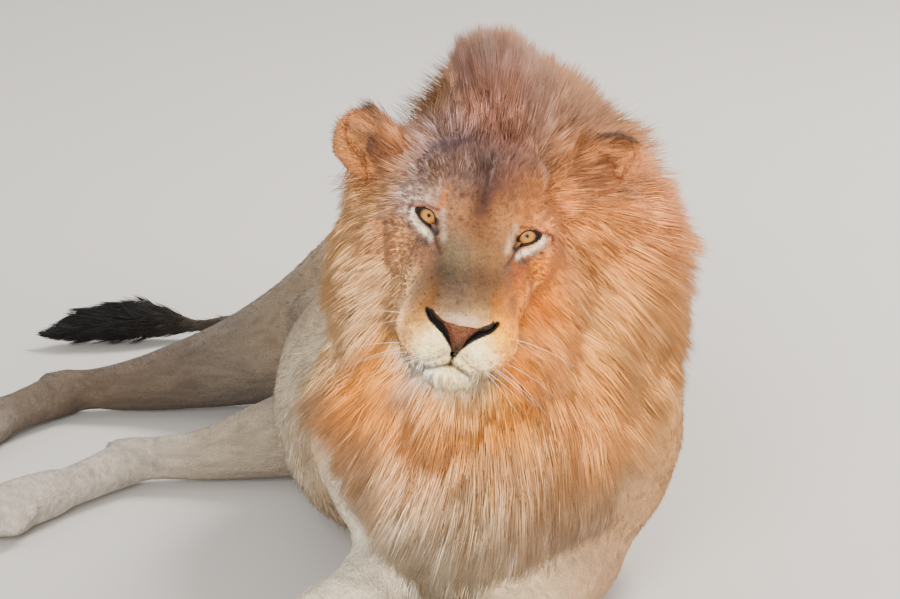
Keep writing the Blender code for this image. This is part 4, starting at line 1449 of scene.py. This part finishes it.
select_only(nose)
bpy.ops.object.shade_smooth()
nose.data.materials.clear()
nose.data.materials.append(leather)
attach(nose, "root")
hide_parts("nose")
print("the nose pad has", len(nose.data.polygons), "faces")

# %% [markdown]
# ## Whiskers
# Whiskers are stiff pale bristles in rows on the pads, curving out, back and down. Each is a thin
# tapered tube along a bowed line, so that it catches the light like the real one, and they are joined
# into one piece.

# %% Make the whiskers
bristle, tree, shader = finish("bristle", Roughness=0.35)
tinted(tree, (0.78, 0.70, 0.60, 1), noise(tree, 200.0), 0.15).feed(shader, "Base Color")
skin_tree = BVHTree.FromPolygons([Vector(p) for p in skin_points], triangles.tolist())

WHISKER_POINTS = 9
WHISKER_RADII = np.linspace(0.26, 0.05, WHISKER_POINTS)
WHISKER_SAG = np.array([0, -0.25, -0.32])


def make_whiskers():
    pieces = []
    for side in (1, -1):
        for row in range(3):
            for place_in_row in range(3):
                start = np.array([side * (34 + 5 * place_in_row), 150 - 11 * place_in_row, -72 - 9 * row])
                reach = 50 + 10 * place_in_row + chance.uniform(-8, 8)
                out = np.array([side * 0.95, 0.12 - 0.10 * place_in_row, -0.12 - 0.20 * row])
                out += chance.normal(0, 0.06, 3)
                spot, _, _, _ = skin_tree.find_nearest(Vector(from_head(start)))
                t = np.linspace(0, 1, WHISKER_POINTS)[:, None]
                bow = out * reach * t + WHISKER_SAG * reach * t**2
                line = np.array(spot) + bow * MM @ head_axes
                pieces.append(tube("whisker", line, WHISKER_RADII * MM, bristle, resolution=1))
    select_only(*pieces)
    bpy.ops.object.join()
    return bpy.context.active_object


whiskers = make_whiskers()
whiskers.name = "whiskers"
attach(whiskers, "root")
print("the whiskers have", len(whiskers.data.polygons), "faces")

# %% [markdown]
# ## Floor, light and camera
# The floor is plain and pale. A large key light stands at the left of the camera, a low one fills the
# chin and the chest, one from behind draws the rim of the mane, and one at the side softens the
# shadows, in a soft glow all round.

# %% Stage the scene
floor_finish, tree, shader = finish("floor", Roughness=0.9)
tinted(tree, (0.52, 0.50, 0.48, 1), noise(tree, 3.0), 0.02).feed(shader, "Base Color")
bpy.ops.object.select_all(action="DESELECT")
bpy.ops.mesh.primitive_plane_add(size=60)
floor = bpy.context.active_object
floor.name = "floor"
floor.data.materials.append(floor_finish)

world = bpy.data.worlds.new("studio")
bpy.context.scene.world = world
world.use_nodes = True
glow = world.node_tree.nodes["Background"]
glow.inputs["Color"].default_value = (1.0, 0.985, 0.96, 1)
glow.inputs["Strength"].default_value = 0.9


def soft_light(name, at, aim, size, energy, colour):
    light = bpy.data.lights.new(name, "AREA")
    light.shape = "DISK"
    light.size = size
    light.energy = energy
    light.color = colour
    lamp = bpy.data.objects.new(name, light)
    bpy.context.scene.collection.objects.link(lamp)
    lamp.location = at
    lamp.rotation_euler = (Vector(aim) - Vector(at)).to_track_quat("-Z", "Y").to_euler()


soft_light("key", (-0.9, -4.2, 2.0), (0, 0, 0.3), 1.8, 310, (1.0, 0.97, 0.92))
soft_light("low", (-0.1, -4.4, 0.5), (0, 0, 0.3), 1.2, 150, (1.0, 0.96, 0.90))
soft_light("back", (1.6, 2.4, 2.8), (0, 0.2, 0.4), 1.4, 220, (1.0, 0.95, 0.88))
soft_light("side", (3.0, -1.0, 1.4), (0, 0.1, 0.3), 2.0, 90, (1.0, 0.94, 0.86))

camera = bpy.data.objects.new("camera", bpy.data.cameras.new("camera"))
bpy.context.scene.collection.objects.link(camera)
camera.location = (-0.0295, -6.3635, 2.2370)
camera.rotation_euler = (math.radians(90 - 16.198), 0, 0)
camera.data.lens = 238
camera.data.sensor_width = 36
camera.data.clip_end = 100
bpy.context.scene.camera = camera
print("the camera stands at", tuple(round(number, 2) for number in camera.location))
